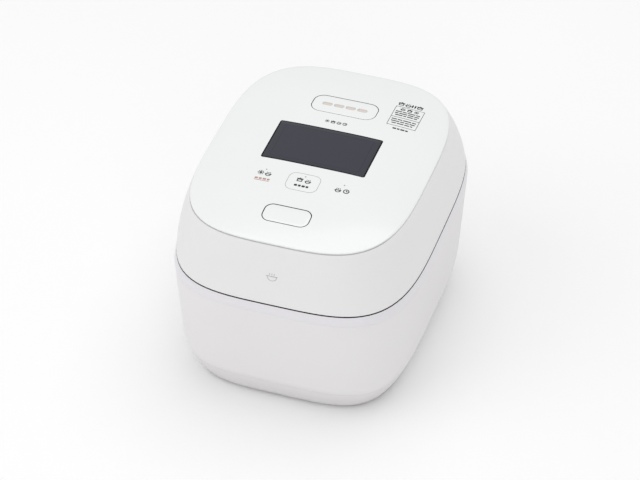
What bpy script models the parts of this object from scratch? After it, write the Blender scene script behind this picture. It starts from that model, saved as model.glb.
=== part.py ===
"""An induction rice cooker with a hinged, crowned lid, as an assembly of separate named parts.

Run it with: blender --background --python part.py
+Z is up, the front faces -Y, and the origin is the middle of the footprint on the table.
Every size below is in millimetres, and the helpers turn it into metres when they make a mesh.
"""

import math

import bmesh
import bpy
from mathutils import Matrix, Vector

MM = 0.001
GAP = 0.3  # the clearance between two parts that meet

# Outer form
RING_POINTS = 40
TURN_STEPS = 32
REAR = 172.5  # half of the overall depth, from the front of the case to the back of the hinge
SEAM_HALF_WIDTH = 135.3
SEAM_HALF_DEPTH = 168.1
SEAM_POWER = 3.81  # exponent of the superellipse that the lid and the case share where they meet
CASE_Y = -2.2
SEAM_Z = 155.3
SEAM_SLOPE = 0.0466  # the seam climbs towards the hinge
SEAM_GAP = 1.2
WALL = 2.4

# Case, by depth below the seam
BAND_SWELL = 2.2
BAND_DEPTH = 10.0
SIDE_TAPER = 0.078
ROUNDING_DEPTH = 105.0
ROUNDING_RATE = 0.0061
FRAME_DEPTH = 12.0  # bottom of the band that belongs to the upper frame
SKIRT_DEPTH = 124.0  # where the base cover meets the case shell
FLOOR_Z = 3.0

# Lid and its crowned panel
PANEL_HALF_WIDTH = 120.3
PANEL_HALF_DEPTH = 154.9
PANEL_POWER = 3.5
PANEL_Y = -8.3
PANEL_EDGE_Z = 225.3
PANEL_THICKNESS = 2.2
CROWN = 9.7
CROWN_POWER = 3
CROWN_SHARES = (0.12, 0.35, 0.55, 0.72, 0.87, 1.0)  # where the crown's rings lie, out from its middle
WIDTH_DRAW = (1.95, 13.05)  # how the lid's half width draws in, linearly and by the square of the share
DEPTH_DRAW = (2.85, 10.35)
DISPLAY_SIZE = (116.1, 67.4)
DISPLAY_Y = PANEL_Y + 2.6
DISPLAY_CORNER = 2.5
BUTTON_SIZE = (52.0, 26.2)
BUTTON_Y = PANEL_Y - 113.1
BUTTON_CORNER = 9.5
STEAM_SIZE = (73.6, 31.4)
STEAM_Y = PANEL_Y + 80.0
STEAM_CORNER = 11.9
STEAM_SLOT = (11.4, 6.0)
STEAM_SLOT_PITCH = 13.2
STEAM_LOW = 214.0  # bottom of the steam cap
DUCT_Y = STEAM_Y - 8.0

# Valves of the inner lid, in plan
BALL_VALVE = (40, 10)
RELIEF_VALVE = (-40, 10)

# Pot
POT_Y = -26.0
POT_RIM_Z = 148.0
POT_BOTTOM_Z = 46.0
POT_RADIUS = 101.0
POT_FLANGE = 107.0
POT_WALL = 2.5
POT_CORNER = 32.0
FRAME_BORE = 104.2

# Hinge
HINGE_Y = 166.0
HINGE_Z = 162.0
KNUCKLE_RADIUS = 6.5
PIN_RADIUS = 2.4
NOTCH_HALF = 73.0
FRAME_KNUCKLE = (51, 71)  # from and to, on either side
LID_KNUCKLE = (24, 50)
PIN_HALF = 70.6

# Latch
LATCH_Y = -150.0
LATCH_Z = 174.0

# Rear bay
FAN_CENTRE = (48.0, 85.0)
REEL_CENTRE = (-50.0, 88.0)
OUTLET = (-58.0, 44.0)  # x and z of the cord outlet
BASE_SCREWS = ((-90, -60), (90, -60), (-90, 20), (90, 20))

PARTS = "rice_cooker"
CUTTERS = "cutters"


def clear_scene():
    for obj in list(bpy.data.objects):
        bpy.data.objects.remove(obj)
    for name in (PARTS, CUTTERS):
        collection = bpy.data.collections.new(name)
        bpy.context.scene.collection.children.link(collection)


def material(name, colour, roughness, metallic=0.0):
    found = bpy.data.materials.get(name)
    if found:
        return found
    made = bpy.data.materials.new(name)
    made.use_nodes = True
    shader = made.node_tree.nodes["Principled BSDF"]
    shader.inputs["Base Color"].default_value = (*colour, 1.0)
    shader.inputs["Roughness"].default_value = roughness
    shader.inputs["Metallic"].default_value = metallic
    return made


FINISHES = {
    "white_panel": ((0.90, 0.91, 0.91), 0.25, 0.0),
    "white_shell": ((0.84, 0.83, 0.83), 0.45, 0.0),
    "white_frame": ((0.86, 0.86, 0.87), 0.35, 0.0),
    "smoked_lens": ((0.06, 0.06, 0.075), 0.12, 0.0),
    "lcd": ((0.10, 0.10, 0.12), 0.3, 0.0),
    "grey_plastic": ((0.35, 0.35, 0.36), 0.5, 0.0),
    "black_plastic": ((0.03, 0.03, 0.03), 0.5, 0.0),
    "rubber": ((0.05, 0.05, 0.05), 0.8, 0.0),
    "silicone": ((0.62, 0.62, 0.62), 0.6, 0.0),
    "steel": ((0.60, 0.60, 0.60), 0.3, 1.0),
    "pot": ((0.10, 0.09, 0.085), 0.4, 0.6),
    "aluminium": ((0.75, 0.75, 0.76), 0.35, 1.0),
    "copper": ((0.70, 0.35, 0.20), 0.4, 1.0),
    "ferrite": ((0.08, 0.08, 0.085), 0.7, 0.0),
    "board": ((0.05, 0.22, 0.10), 0.5, 0.0),
}


def finish_object(bm, name, finish, helper=False):
    """Stores a bmesh in millimetres as an object in metres."""
    bmesh.ops.recalc_face_normals(bm, faces=bm.faces)
    bmesh.ops.scale(bm, vec=(MM, MM, MM), verts=bm.verts)
    mesh = bpy.data.meshes.new(name)
    bm.to_mesh(mesh)
    bm.free()
    obj = bpy.data.objects.new(name, mesh)
    bpy.data.collections[CUTTERS if helper else PARTS].objects.link(obj)
    if helper:
        obj.hide_render = True
        obj.display_type = "WIRE"
    else:
        mesh.materials.append(material(finish, *FINISHES[finish]))
        mesh.shade_smooth()
        mesh.set_sharp_from_angle(angle=math.radians(30))
    return obj


def set_origin(obj, x, y, z):
    """Puts a moving part's origin on its joint."""
    spot = Vector((x, y, z)) * MM
    obj.data.transform(Matrix.Translation(obj.location - spot))
    obj.location = spot


def boolean(obj, other, operation):
    modifier = obj.modifiers.new(f"{operation.lower()}_{other.name}", "BOOLEAN")
    modifier.operation = operation
    modifier.solver = "EXACT"
    modifier.object = other


def cut(obj, *others):
    for other in others:
        boolean(obj, other, "DIFFERENCE")


def join(obj, *others):
    for other in others:
        boolean(obj, other, "UNION")


def box(name, low, high, finish=None):
    """A block between two corners. With no finish it is a helper."""
    bm = bmesh.new()
    bmesh.ops.create_cube(bm, size=1)
    size = [h - l for l, h in zip(low, high)]
    middle = [(h + l) / 2 for l, h in zip(low, high)]
    bmesh.ops.scale(bm, vec=size, verts=bm.verts)
    bmesh.ops.translate(bm, vec=middle, verts=bm.verts)
    return finish_object(bm, name, finish, helper=finish is None)


AXES = {
    "X": Matrix.Rotation(math.radians(90), 4, "Y"),
    "Y": Matrix.Rotation(math.radians(90), 4, "X"),
    "Z": Matrix.Identity(4),
}


def cylinder(name, radius, start, length, axis="Z", finish=None, segments=TURN_STEPS):
    """A round bar whose low end's centre is at start and which runs length along the axis."""
    bm = bmesh.new()
    bmesh.ops.create_cone(
        bm, cap_ends=True, segments=segments, radius1=radius, radius2=radius, depth=length, matrix=AXES[axis]
    )
    middle = Vector(start)
    middle["XYZ".index(axis)] += length / 2
    bmesh.ops.translate(bm, vec=middle, verts=bm.verts)
    return finish_object(bm, name, finish, helper=finish is None)


def turned(name, profile, centre, finish=None, steps=TURN_STEPS):
    """A solid of revolution from (radius, height) points. A profile off the axis is closed into a ring."""
    turns = [a[0] * b[1] - b[0] * a[1] for a, b in zip(profile, profile[1:] + profile[:1])]
    if sum(turns) > 0:
        profile = profile[::-1]  # down the outer side, so that the faces point out
    bm = bmesh.new()
    verts = [bm.verts.new((radius, 0, height)) for radius, height in profile]
    for pair in zip(verts, verts[1:]):
        bm.edges.new(pair)
    if profile[0][0] > 0:
        bm.edges.new((verts[-1], verts[0]))
    obj = finish_object(bm, name, finish, helper=finish is None)
    obj.location = (centre[0] * MM, centre[1] * MM, 0)
    screw = obj.modifiers.new("turn", "SCREW")
    screw.steps = screw.render_steps = steps
    screw.use_merge_vertices = True
    screw.merge_threshold = 0.00001
    screw.use_smooth_shade = True
    return obj


def arc(centre, radius, start, end, steps):
    """Points along an arc in a profile, with the angles in degrees."""
    angles = [math.radians(start + (end - start) * i / steps) for i in range(steps + 1)]
    return [(centre[0] + radius * math.cos(a), centre[1] + radius * math.sin(a)) for a in angles]


def rounded_outline(width, depth, radius, centre=(0, 0), steps=4):
    """A rectangle with round corners, anticlockwise."""
    points = []
    for turn, (sx, sy) in enumerate(((1, 1), (-1, 1), (-1, -1), (1, -1))):
        corner = (centre[0] + sx * (width / 2 - radius), centre[1] + sy * (depth / 2 - radius))
        points += arc(corner, radius, 90 * turn, 90 * (turn + 1), steps)
    return points


def prism(name, outline, low, high, finish=None, plane="XY"):
    """An outline pushed from low to high, upwards, or along X for an outline in the YZ plane."""
    curve = bpy.data.curves.new(name, "CURVE")
    curve.dimensions = "2D"
    curve.fill_mode = "BOTH"
    curve.extrude = (high - low) / 2
    spline = curve.splines.new("POLY")
    spline.use_cyclic_u = True
    spline.points.add(len(outline) - 1)
    for target, (u, v) in zip(spline.points, outline):
        target.co = (u, v, 0, 1)
    flat = bpy.data.objects.new(name, curve)
    bpy.context.scene.collection.objects.link(flat)
    graph = bpy.context.evaluated_depsgraph_get()
    mesh = bpy.data.meshes.new_from_object(flat.evaluated_get(graph))
    bpy.data.objects.remove(flat)
    bm = bmesh.new()
    bm.from_mesh(mesh)
    bmesh.ops.remove_doubles(bm, verts=bm.verts, dist=0.001)
    bmesh.ops.translate(bm, vec=(0, 0, (low + high) / 2), verts=bm.verts)
    if plane == "YZ":
        bmesh.ops.transform(bm, matrix=Matrix(((0, 0, 1), (1, 0, 0), (0, 1, 0))), verts=bm.verts)
    return finish_object(bm, name, finish, helper=finish is None)


def ring(half_width, half_depth, power, centre_y, height):
    """A closed ring of points on a superellipse. Its height is a number or a function of y."""
    points = []
    for step in range(RING_POINTS):
        angle = math.tau * step / RING_POINTS
        across, along = math.cos(angle), math.sin(angle)
        reach = (abs(across / half_width) ** power + abs(along / half_depth) ** power) ** (-1 / power)
        y = centre_y + reach * along
        points.append((reach * across, y, height(y) if callable(height) else height))
    return points


def loft(name, rings, finish=None, loop=False, caps=(True, True)):
    """Skins rings in order. A loop joins the last ring to the first, and caps close the two ends."""
    bm = bmesh.new()
    rows = [[bm.verts.new(point) for point in points] for points in rings]
    pairs = list(zip(rows, rows[1:]))
    if loop:
        pairs.append((rows[-1], rows[0]))
    for first, second in pairs:
        for i in range(RING_POINTS):
            j = (i + 1) % RING_POINTS
            bm.faces.new((first[i], first[j], second[j], second[i]))
    for row, closed in zip((rows[0], rows[-1]), caps):
        if closed and not loop:
            bm.faces.new(row)
    return finish_object(bm, name, finish, helper=finish is None)


def shell(name, rings, thickness, finish, caps=(False, False), offset=-1):
    """A skin through rings, thickened to its inner side."""
    obj = loft(name, rings, finish, caps=caps)
    wall = obj.modifiers.new("wall", "SOLIDIFY")
    wall.thickness = thickness * MM
    wall.offset = offset
    wall.use_even_offset = True
    return obj


def wire(name, points, radius, finish, sides=1):
    """A round wire through points: a poly curve with filled caps."""
    curve = bpy.data.curves.new(name, "CURVE")
    curve.dimensions = "3D"
    curve.bevel_depth = radius * MM
    curve.bevel_resolution = sides
    curve.use_fill_caps = True
    spline = curve.splines.new("POLY")
    spline.points.add(len(points) - 1)
    for target, point in zip(spline.points, points):
        target.co = (*[c * MM for c in point], 1)
    curve.materials.append(material(finish, *FINISHES[finish]))
    obj = bpy.data.objects.new(name, curve)
    bpy.data.collections[PARTS].objects.link(obj)
    return obj


def coil(name, centre, radius, low, high, turns, wire_radius, finish, axis="Z", per_turn=9):
    """A helical spring between two heights on the axis."""
    points = []
    for i in range(turns * per_turn + 1):
        angle = math.tau * i / per_turn
        along = low + (high - low) * i / (turns * per_turn)
        u, v = radius * math.cos(angle), radius * math.sin(angle)
        if axis == "Z":
            points.append((centre[0] + u, centre[1] + v, along))
        else:
            points.append((along, centre[0] + u, centre[1] + v))
    return wire(name, points, wire_radius, finish)


# The outer form as rings


def seam_height(y):
    return SEAM_Z + SEAM_SLOPE * y


def case_swell(depth):
    """How far the case stands outside the seam line, by depth below it."""
    if depth < BAND_DEPTH:
        return BAND_SWELL * (1 - (1 - depth / BAND_DEPTH) ** 2)
    rounding = ROUNDING_RATE * max(0.0, depth - ROUNDING_DEPTH) ** 2
    return BAND_SWELL - SIDE_TAPER * (depth - BAND_DEPTH) - rounding


def case_ring(depth, inset=0.0):
    """The case's outline at a depth below the seam. The slope of the seam fades out towards the floor."""
    fade = max(0.0, 1 - depth / SKIRT_DEPTH)
    grow = case_swell(depth) - inset
    return ring(
        SEAM_HALF_WIDTH + grow,
        SEAM_HALF_DEPTH + grow,
        SEAM_POWER + 0.4 * depth / SEAM_Z,
        CASE_Y,
        lambda y: SEAM_Z - depth + SEAM_SLOPE * y * fade,
    )


def lid_ring(share, inset=0.0, lift=0.0):
    """The lid's outline, from the seam at share 0 to the panel's edge at share 1."""
    bottom = SEAM_GAP / 2
    return ring(
        SEAM_HALF_WIDTH - WIDTH_DRAW[0] * share - WIDTH_DRAW[1] * share**2 - inset,
        SEAM_HALF_DEPTH - DEPTH_DRAW[0] * share - DEPTH_DRAW[1] * share**2 - inset,
        SEAM_POWER + (PANEL_POWER - SEAM_POWER) * share,
        CASE_Y + (PANEL_Y - CASE_Y) * share,
        lambda y: (seam_height(y) + bottom) * (1 - share) + PANEL_EDGE_Z * share + lift,
    )


def panel_ring(share, drop=0.0):
    """A ring of the crowned panel, from its middle at share 0 to its edge at share 1."""
    height = PANEL_EDGE_Z + CROWN * (1 - share**CROWN_POWER) - drop
    return ring(PANEL_HALF_WIDTH * share, PANEL_HALF_DEPTH * share, PANEL_POWER, PANEL_Y, height)


def circle(radius, height):
    return ring(radius, radius, 2, POT_Y, height)


# Case


def make_case_shell():
    depths = (FRAME_DEPTH + GAP, 45, 80, 105, 115, SKIRT_DEPTH)
    case = shell("case_shell", [case_ring(depth) for depth in depths], WALL, "white_shell")
    x, z = OUTLET
    cut(case, box("outlet_cutter", (x - 14, 140, z - 8), (x + 14, REAR, z + 8)))


def make_upper_frame():
    """The rim that carries the pot. Its band shows under the seam, and its tongue sits inside the case shell."""
    tongue = WALL + GAP
    top = SEAM_GAP / 2
    ledge = POT_RIM_Z - POT_WALL - GAP
    rings = [
        case_ring(top),
        case_ring(4),
        case_ring(FRAME_DEPTH),
        case_ring(FRAME_DEPTH, tongue),
        case_ring(22, tongue),
        case_ring(22, tongue + 2),
        case_ring(5.5, tongue + 3),
        circle(FRAME_BORE + 8, ledge - 3.5),
        circle(FRAME_BORE, ledge - 3.5),
        circle(FRAME_BORE, ledge),
        circle(112.5, ledge),
        circle(114.5, lambda y: seam_height(y) - 1.4),
        case_ring(top, 5),
    ]
    frame = loft("upper_frame", rings, "white_frame", loop=True)
    notch_floor = HINGE_Z - KNUCKLE_RADIUS - 0.8
    cut(frame, box("hinge_pocket", (-NOTCH_HALF, 148, notch_floor), (NOTCH_HALF, REAR + 5, 180)))
    cut(frame, box("latch_slot", (-13, -163.5, 130), (13, -147.5, 160)))
    for side in (-1, 1):
        low, high = sorted(side * end for end in FRAME_KNUCKLE)
        join(frame, cylinder(f"knuckle_{side}", KNUCKLE_RADIUS, (low, HINGE_Y, HINGE_Z), high - low, "X"))
        join(frame, box(f"knuckle_web_{side}", (low, 157, notch_floor - 2.5), (high, 165, HINGE_Z)))
    cut(frame, cylinder("frame_pin_bore", PIN_RADIUS + GAP, (-80, HINGE_Y, HINGE_Z), 160, "X", segments=16))


def make_base_cover():
    depths = (SKIRT_DEPTH + GAP, 132, 140, 147, SEAM_Z - FLOOR_Z)
    rings = [case_ring(depth) for depth in depths]
    cover = shell("base_cover", rings, WALL, "white_shell", caps=(False, True))
    for row in range(6):
        y = FAN_CENTRE[1] - 35 + 10 * row
        outline = rounded_outline(50, 5, 2.4, (FAN_CENTRE[0], y), 2)
        cut(cover, prism(f"intake_{row}", outline, -5, 12))
    for row in range(5):
        outline = rounded_outline(5, 34, 2.4, (-20 + 10 * row, -110), 2)
        cut(cover, prism(f"exhaust_{row}", outline, -5, 12))
    for number, (x, y) in enumerate(BASE_SCREWS, start=1):
        cut(cover, cylinder(f"screw_hole_{number}", 1.9, (x, y, -5), 20, segments=12))
        profile = [(0, 1.2), (2.6, 1.2), (3.6, 1.9), (3.6, 2.7), (1.6, 2.7), (1.6, 15), (0, 16)]
        turned(f"base_screw_{number}", profile, (x, y), "steel", 12)


def make_feet():
    for name, x, y in (
        ("foot_front_left", -78, -122),
        ("foot_front_right", 78, -122),
        ("foot_rear_left", -78, 116),
        ("foot_rear_right", 78, 116),
    ):
        turned(name, [(0, 0), (8, 0), (9, 1), (9, FLOOR_Z - GAP), (0, FLOOR_Z - GAP)], (x, y), "rubber", 20)


def make_pot():
    """A spun pot: outside from the middle of the bottom up to the flange, then the inside back down."""
    outside = arc((POT_RADIUS - POT_CORNER, POT_BOTTOM_Z + POT_CORNER), POT_CORNER, -90, 0, 5)
    radius = POT_RADIUS - POT_WALL
    corner = POT_CORNER - POT_WALL
    inside = arc((radius - corner, POT_BOTTOM_Z + POT_WALL + corner), corner, 0, -90, 5)
    profile = [(0, POT_BOTTOM_Z)] + outside
    profile += [(POT_RADIUS, POT_RIM_Z - POT_WALL), (POT_FLANGE, POT_RIM_Z - POT_WALL), (POT_FLANGE, POT_RIM_Z - 1)]
    profile += [(POT_FLANGE - 1, POT_RIM_Z), (radius + 1, POT_RIM_Z), (radius, POT_RIM_Z - 2)]
    profile += inside + [(0, POT_BOTTOM_Z + POT_WALL)]
    turned("inner_pot", profile, (0, POT_Y), "pot", 40)


def make_pot_well():
    """The heat-proof liner round the pot, with the coils, their clamp and the side heater on its outside."""
    inner, wall, corner, hole = 103.2, 2.0, 33.0, 18.5
    floor = POT_BOTTOM_Z - 2.5
    top = POT_RIM_Z - POT_WALL - GAP - 4.0
    inside = arc((inner - corner, floor + corner), corner, -90, 0, 4)
    outside = arc((inner - corner, floor + corner), corner + wall, 0, -90, 4)
    profile = [(hole, floor)] + inside + [(inner, top), (inner + wall, top)] + outside + [(hole, floor - wall)]
    turned("pot_well", profile, (0, POT_Y), "black_plastic")
    under = floor - wall - GAP
    for name, low, high in (("inner_coil", 28, 50), ("outer_coil", 56, 72)):
        turned(name, [(low, under), (high, under), (high, under - 5), (low, under - 5)], (0, POT_Y), "copper")
    side = inner + wall + GAP
    turned("side_heater", [(side, 95), (side + 1, 95), (side + 1, 125), (side, 125)], (0, POT_Y), "aluminium")


def make_coil_clamp():
    """A ring with six ferrite arms that gathers the field under the coils."""
    top = POT_BOTTOM_Z - 2.5 - 2.0 - GAP - 5 - GAP
    clamp = turned("ferrite_clamp", [(21, top), (27, top), (27, top - 5), (21, top - 5)], (0, POT_Y), "ferrite")
    for arm in range(6):
        angle = math.radians(30 + 60 * arm)
        bar = box(f"arm_{arm}", (24, -4, top - 4.5), (76, 4, top - 0.2))
        bar.matrix_world = Matrix.Translation((0, POT_Y * MM, 0)) @ Matrix.Rotation(angle, 4, "Z")
        join(clamp, bar)


def make_temperature_sensor():
    """The sprung sensor that presses on the middle of the pot, in its holder."""
    top = POT_BOTTOM_Z - GAP
    profile = [(0, top), (14, top), (15.5, top - 1.5), (15.5, top - 9), (14, top - 9), (14, top - 2.5), (0, top - 2.5)]
    cap = turned("temperature_sensor", profile, (0, POT_Y), "aluminium", 24)
    set_origin(cap, 0, POT_Y, top)
    low = 12.0
    holder = [(0, low), (18, low), (18, low + 16), (16.5, low + 16), (16.5, low + 2), (0, low + 2)]
    turned("sensor_holder", holder, (0, POT_Y), "grey_plastic", 24)
    coil("sensor_spring", (0, POT_Y), 9.0, low + 3.2, top - 3.6, 4, 0.6, "steel")


# Rear bay


def make_boards():
    board_y = 137.0
    box("control_board", (-85, board_y, 56), (85, board_y + 1.6, 134), "board")
    sink = box("heat_sink", (8, 104, 62), (68, board_y - GAP, 110), "aluminium")
    for fin in range(6):
        x = 12 + 9.2 * fin
        cut(sink, box(f"fin_{fin}", (x, 95, 50), (x + 6, 128, 120)))
    cylinder("smoothing_capacitor", 12, (-30, 103, 84), board_y - GAP - 103, "Y", "black_plastic", 20)
    hole, rim = 6.0, 13.0
    choke = [(hole, 0), (rim, 0), (rim, 9), (hole, 9)]
    ring_core = turned("filter_choke", choke, (0, 0), "copper", 20)
    ring_core.matrix_world = Matrix.Translation((-62 * MM, (board_y - GAP) * MM, 84 * MM)) @ AXES["Y"]


def make_fan():
    x, y = FAN_CENTRE
    low, high, half = 8.0, 28.0, 35.0
    frame = prism("fan_housing", rounded_outline(2 * half, 2 * half, 5, (x, y), 2), low, high, "black_plastic")
    cut(frame, cylinder("fan_bore", 32.5, (x, y, low + 2.5), 30, segments=28))
    for turn in range(4):
        angle = math.radians(90 * turn + 45)
        spot = (x + 21 * math.cos(angle), y + 21 * math.sin(angle), low - 2)
        cut(frame, cylinder(f"fan_inlet_{turn}", 9.5, spot, 8, segments=14))
    rotor = cylinder("fan_rotor", 11, (x, y, low + 3.2), 14, finish="black_plastic", segments=20)
    for blade in range(7):
        outline = [(8, -1.0), (30.5, -1.0), (30.5, 1.0), (8, 1.0)]
        vane = prism(f"blade_{blade}", outline, -6, 6)
        tilt = Matrix.Rotation(math.radians(35), 4, "X")
        spin = Matrix.Rotation(math.tau * blade / 7, 4, "Z")
        vane.matrix_world = Matrix.Translation((x * MM, y * MM, (low + 10.2) * MM)) @ spin @ tilt
        join(rotor, vane)


def make_cord_reel():
    x, y = REEL_CENTRE
    low, high, outer = 8.0, 43.0, 41.0
    case = [(0, low), (outer, low), (outer, high), (outer - 2, high), (outer - 2, low + 2), (0, low + 2)]
    reel_case = turned("reel_case", case, REEL_CENTRE, "grey_plastic", 28)
    cut(reel_case, box("reel_slot", (x - 12, y + 30, low + 6), (x + 4, y + 50, high + 5)))
    floor, top, flange, hub = low + 2.6, high - 1.5, outer - 3.5, 15.0
    drum = [
        (4.2, floor), (flange, floor), (flange, floor + 2), (hub, floor + 2),
        (hub, top - 2), (flange, top - 2), (flange, top), (4.2, top),
    ]
    spool = turned("reel_drum", drum, REEL_CENTRE, "grey_plastic", 28)
    set_origin(spool, x, y, floor)
    cylinder("reel_axle", 3.6, (x, y, low + 2.3), high - low - 1, finish="steel", segments=16)


def make_cord_outlet():
    """The bezel in the back of the case that the cord comes out of."""
    x, z = OUTLET
    outline = rounded_outline(27, 15, 3, (0, 0), 2)
    bezel = prism("cord_outlet", outline, 0, 12, "grey_plastic")
    cut(bezel, prism("outlet_bore", rounded_outline(20, 8, 2, (0, 0), 2), -5, 20))
    place = Matrix.Translation((x * MM, 151.5 * MM, z * MM)) @ Matrix.Rotation(math.radians(-90), 4, "X")
    bezel.matrix_world = place
    bpy.data.objects["outlet_bore"].matrix_world = place


# Lid


def make_lid_shell():
    """The side of the lid, with the inturned flange that the top panel rests on."""
    under = PANEL_THICKNESS + 2 * GAP
    rings = [lid_ring(share) for share in (0, 0.2, 0.42, 0.62, 0.8)]
    rings.append([(x, y, PANEL_EDGE_Z - under) for x, y, _ in lid_ring(0.965)])
    rings += [panel_ring(0.985, under), panel_ring(0.92, under)]
    lid = shell("lid_shell", rings, WALL, "white_shell")
    cut(lid, box("lid_notch", (-NOTCH_HALF, 150, 140), (NOTCH_HALF, REAR + 5, HINGE_Z + KNUCKLE_RADIUS + 0.8)))


def crown_block(name, depth):
    """A solid under the crowned surface, which trims whatever has to follow the panel."""
    top = [panel_ring(share) for share in CROWN_SHARES]
    base = [(x, y, PANEL_EDGE_Z - depth) for x, y, _ in top[-1]]
    return loft(name, top + [base])


def make_top_panel():
    rings = [panel_ring(share) for share in CROWN_SHARES]
    panel = shell("top_panel", rings, PANEL_THICKNESS, "white_panel", caps=(True, False))
    for name, size, corner, y in (
        ("display", DISPLAY_SIZE, DISPLAY_CORNER, DISPLAY_Y),
        ("button", BUTTON_SIZE, BUTTON_CORNER, BUTTON_Y),
        ("steam", STEAM_SIZE, STEAM_CORNER, STEAM_Y),
    ):
        outline = rounded_outline(*size, corner, (0, y))
        cut(panel, prism(f"{name}_opening", outline, PANEL_EDGE_Z - 10, PANEL_EDGE_Z + 30))


def make_display():
    width, depth = (side - 2 * GAP for side in DISPLAY_SIZE)
    outline = rounded_outline(width, depth, DISPLAY_CORNER, (0, DISPLAY_Y), 2)
    lens = prism("display_window", outline, PANEL_EDGE_Z + 5.6, PANEL_EDGE_Z + 20, "smoked_lens")
    boolean(lens, bpy.data.objects["crown"], "INTERSECT")
    half_w, half_d = 54, 28
    top = PANEL_EDGE_Z + 5.2
    box("lcd_module", (-half_w, DISPLAY_Y - half_d, top - 4), (half_w, DISPLAY_Y + half_d, top), "lcd")
    board_top = top - 4 - GAP
    box("display_board", (-86, BUTTON_Y + 24, board_top - 1.6), (86, DISPLAY_Y + 50, board_top), "board")


def make_open_button():
    """The push key: a cap that follows the crown, with the stem that works the latch."""
    width, depth = (side - 2 * GAP for side in BUTTON_SIZE)
    outline = rounded_outline(width, depth, BUTTON_CORNER - GAP, (0, BUTTON_Y))
    cap = prism("open_button", outline, PANEL_EDGE_Z - 2, PANEL_EDGE_Z + 20, "white_panel")
    boolean(cap, bpy.data.objects["crown"], "INTERSECT")
    stem_low = LATCH_Z + 2 + 0.5
    join(cap, box("button_stem", (-4, BUTTON_Y - 2, stem_low), (4, BUTTON_Y + 2, PANEL_EDGE_Z)))
    guide_top = 208.0
    guide = box("button_guide", (-30, BUTTON_Y - 15, guide_top - 2.5), (30, BUTTON_Y + 15, guide_top), "grey_plastic")
    cut(guide, box("stem_hole", (-4.8, BUTTON_Y - 2.8, 200), (4.8, BUTTON_Y + 2.8, 215)))
    coil("button_spring", (0, BUTTON_Y), 6.0, guide_top + 0.9, PANEL_EDGE_Z - 3.0, 4, 0.5, "steel")


def make_latch():
    """The hook on the lid that the key turns, its pin, and the catch plate under the upper frame."""
    radius, arm = 4.0, 2.0
    hook = cylinder("latch_hook", radius, (-7, LATCH_Y, LATCH_Z), 14, "X", "steel", 16)
    drop = [
        (LATCH_Y - radius, LATCH_Z), (LATCH_Y - 6.5, LATCH_Z - 8), (LATCH_Y - 6.5, 135.4), (LATCH_Y - 3.0, 135.4),
        (LATCH_Y + 0.2, 139.4), (LATCH_Y - 2.5, 139.4), (LATCH_Y - 2.5, LATCH_Z - 6), (LATCH_Y + radius, LATCH_Z),
    ]
    join(hook, prism("hook_arm", drop, -6.5, 6.5, plane="YZ"))
    join(hook, box("hook_lever", (-6, LATCH_Y, LATCH_Z - arm), (6, BUTTON_Y + 5, LATCH_Z + arm)))
    cut(hook, cylinder("hook_bore", 1.8, (-20, LATCH_Y, LATCH_Z), 40, "X", segments=12))
    cylinder("latch_pin", 1.5, (-16, LATCH_Y, LATCH_Z), 32, "X", "steel", 12)
    plate = box("catch_plate", (-20, -164.5, 139.8), (20, -145, 141.3), "steel")
    cut(plate, box("catch_window", (-9, -163, 130), (9, LATCH_Y + 0.5, 150)))
    for side in (-1, 1):
        low, high = sorted((side * 8, side * 11))
        name = "latch_lug_left" if side < 0 else "latch_lug_right"
        lug = box(name, (low, LATCH_Y - 5, 153.3), (high, LATCH_Y + 5, 179), "grey_plastic")
        cut(lug, cylinder(f"lug_bore_{side}", 1.8, (low - 5, LATCH_Y, LATCH_Z), 13, "X", segments=12))


def make_steam_cap():
    """The lift-out steam cap: a slotted top with a skirt, closed below by a tray."""
    width, depth = (side - 2 * GAP for side in STEAM_SIZE)
    corner = STEAM_CORNER - GAP
    outline = rounded_outline(width, depth, corner, (0, STEAM_Y), 5)
    cap = prism("steam_cap", outline, STEAM_LOW, PANEL_EDGE_Z + 20, "white_panel")
    boolean(cap, bpy.data.objects["crown"], "INTERSECT")
    hollow = rounded_outline(width - 3.6, depth - 3.6, corner - 1.8, (0, STEAM_Y), 5)
    cut(cap, prism("cap_hollow", hollow, STEAM_LOW - 5, 228.5))
    for slot in range(4):
        x = STEAM_SLOT_PITCH * (slot - 1.5)
        cut(cap, prism(f"cap_slot_{slot}", rounded_outline(*STEAM_SLOT, 2.6, (x, STEAM_Y), 2), 220, 245))
    tray_outline = rounded_outline(width - 4.4, depth - 4.4, corner - 2.2, (0, STEAM_Y), 5)
    tray = prism("steam_tray", tray_outline, STEAM_LOW, STEAM_LOW + 5, "white_panel")
    tray_hollow = rounded_outline(width - 8, depth - 8, corner - 4, (0, STEAM_Y), 5)
    cut(tray, prism("tray_hollow", tray_hollow, STEAM_LOW + 1.6, STEAM_LOW + 9))
    cut(tray, cylinder("tray_inlet", 3.0, (0, DUCT_Y, STEAM_LOW - 5), 10, segments=12))


def make_steam_well():
    """The cup in the lid that the steam cap drops into, and the duct down to the inner lid."""
    width, depth = STEAM_SIZE
    outline = rounded_outline(width + 4, depth + 4, STEAM_CORNER + 2, (0, STEAM_Y), 5)
    well = prism("steam_well", outline, 210.4, PANEL_EDGE_Z + 3.2, "white_frame")
    hollow = rounded_outline(width + 0.6, depth + 0.6, STEAM_CORNER + 0.3, (0, STEAM_Y), 5)
    cut(well, prism("well_hollow", hollow, 212.8, 260))
    cut(well, cylinder("well_outlet", 4.0, (0, DUCT_Y, 205), 12, segments=16))
    duct = [(4.2, 155.2), (5.6, 155.2), (5.6, 208.5), (7.5, 210.1), (4.2, 210.1)]
    turned("steam_duct", duct, (0, DUCT_Y), "silicone", 16)


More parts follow.
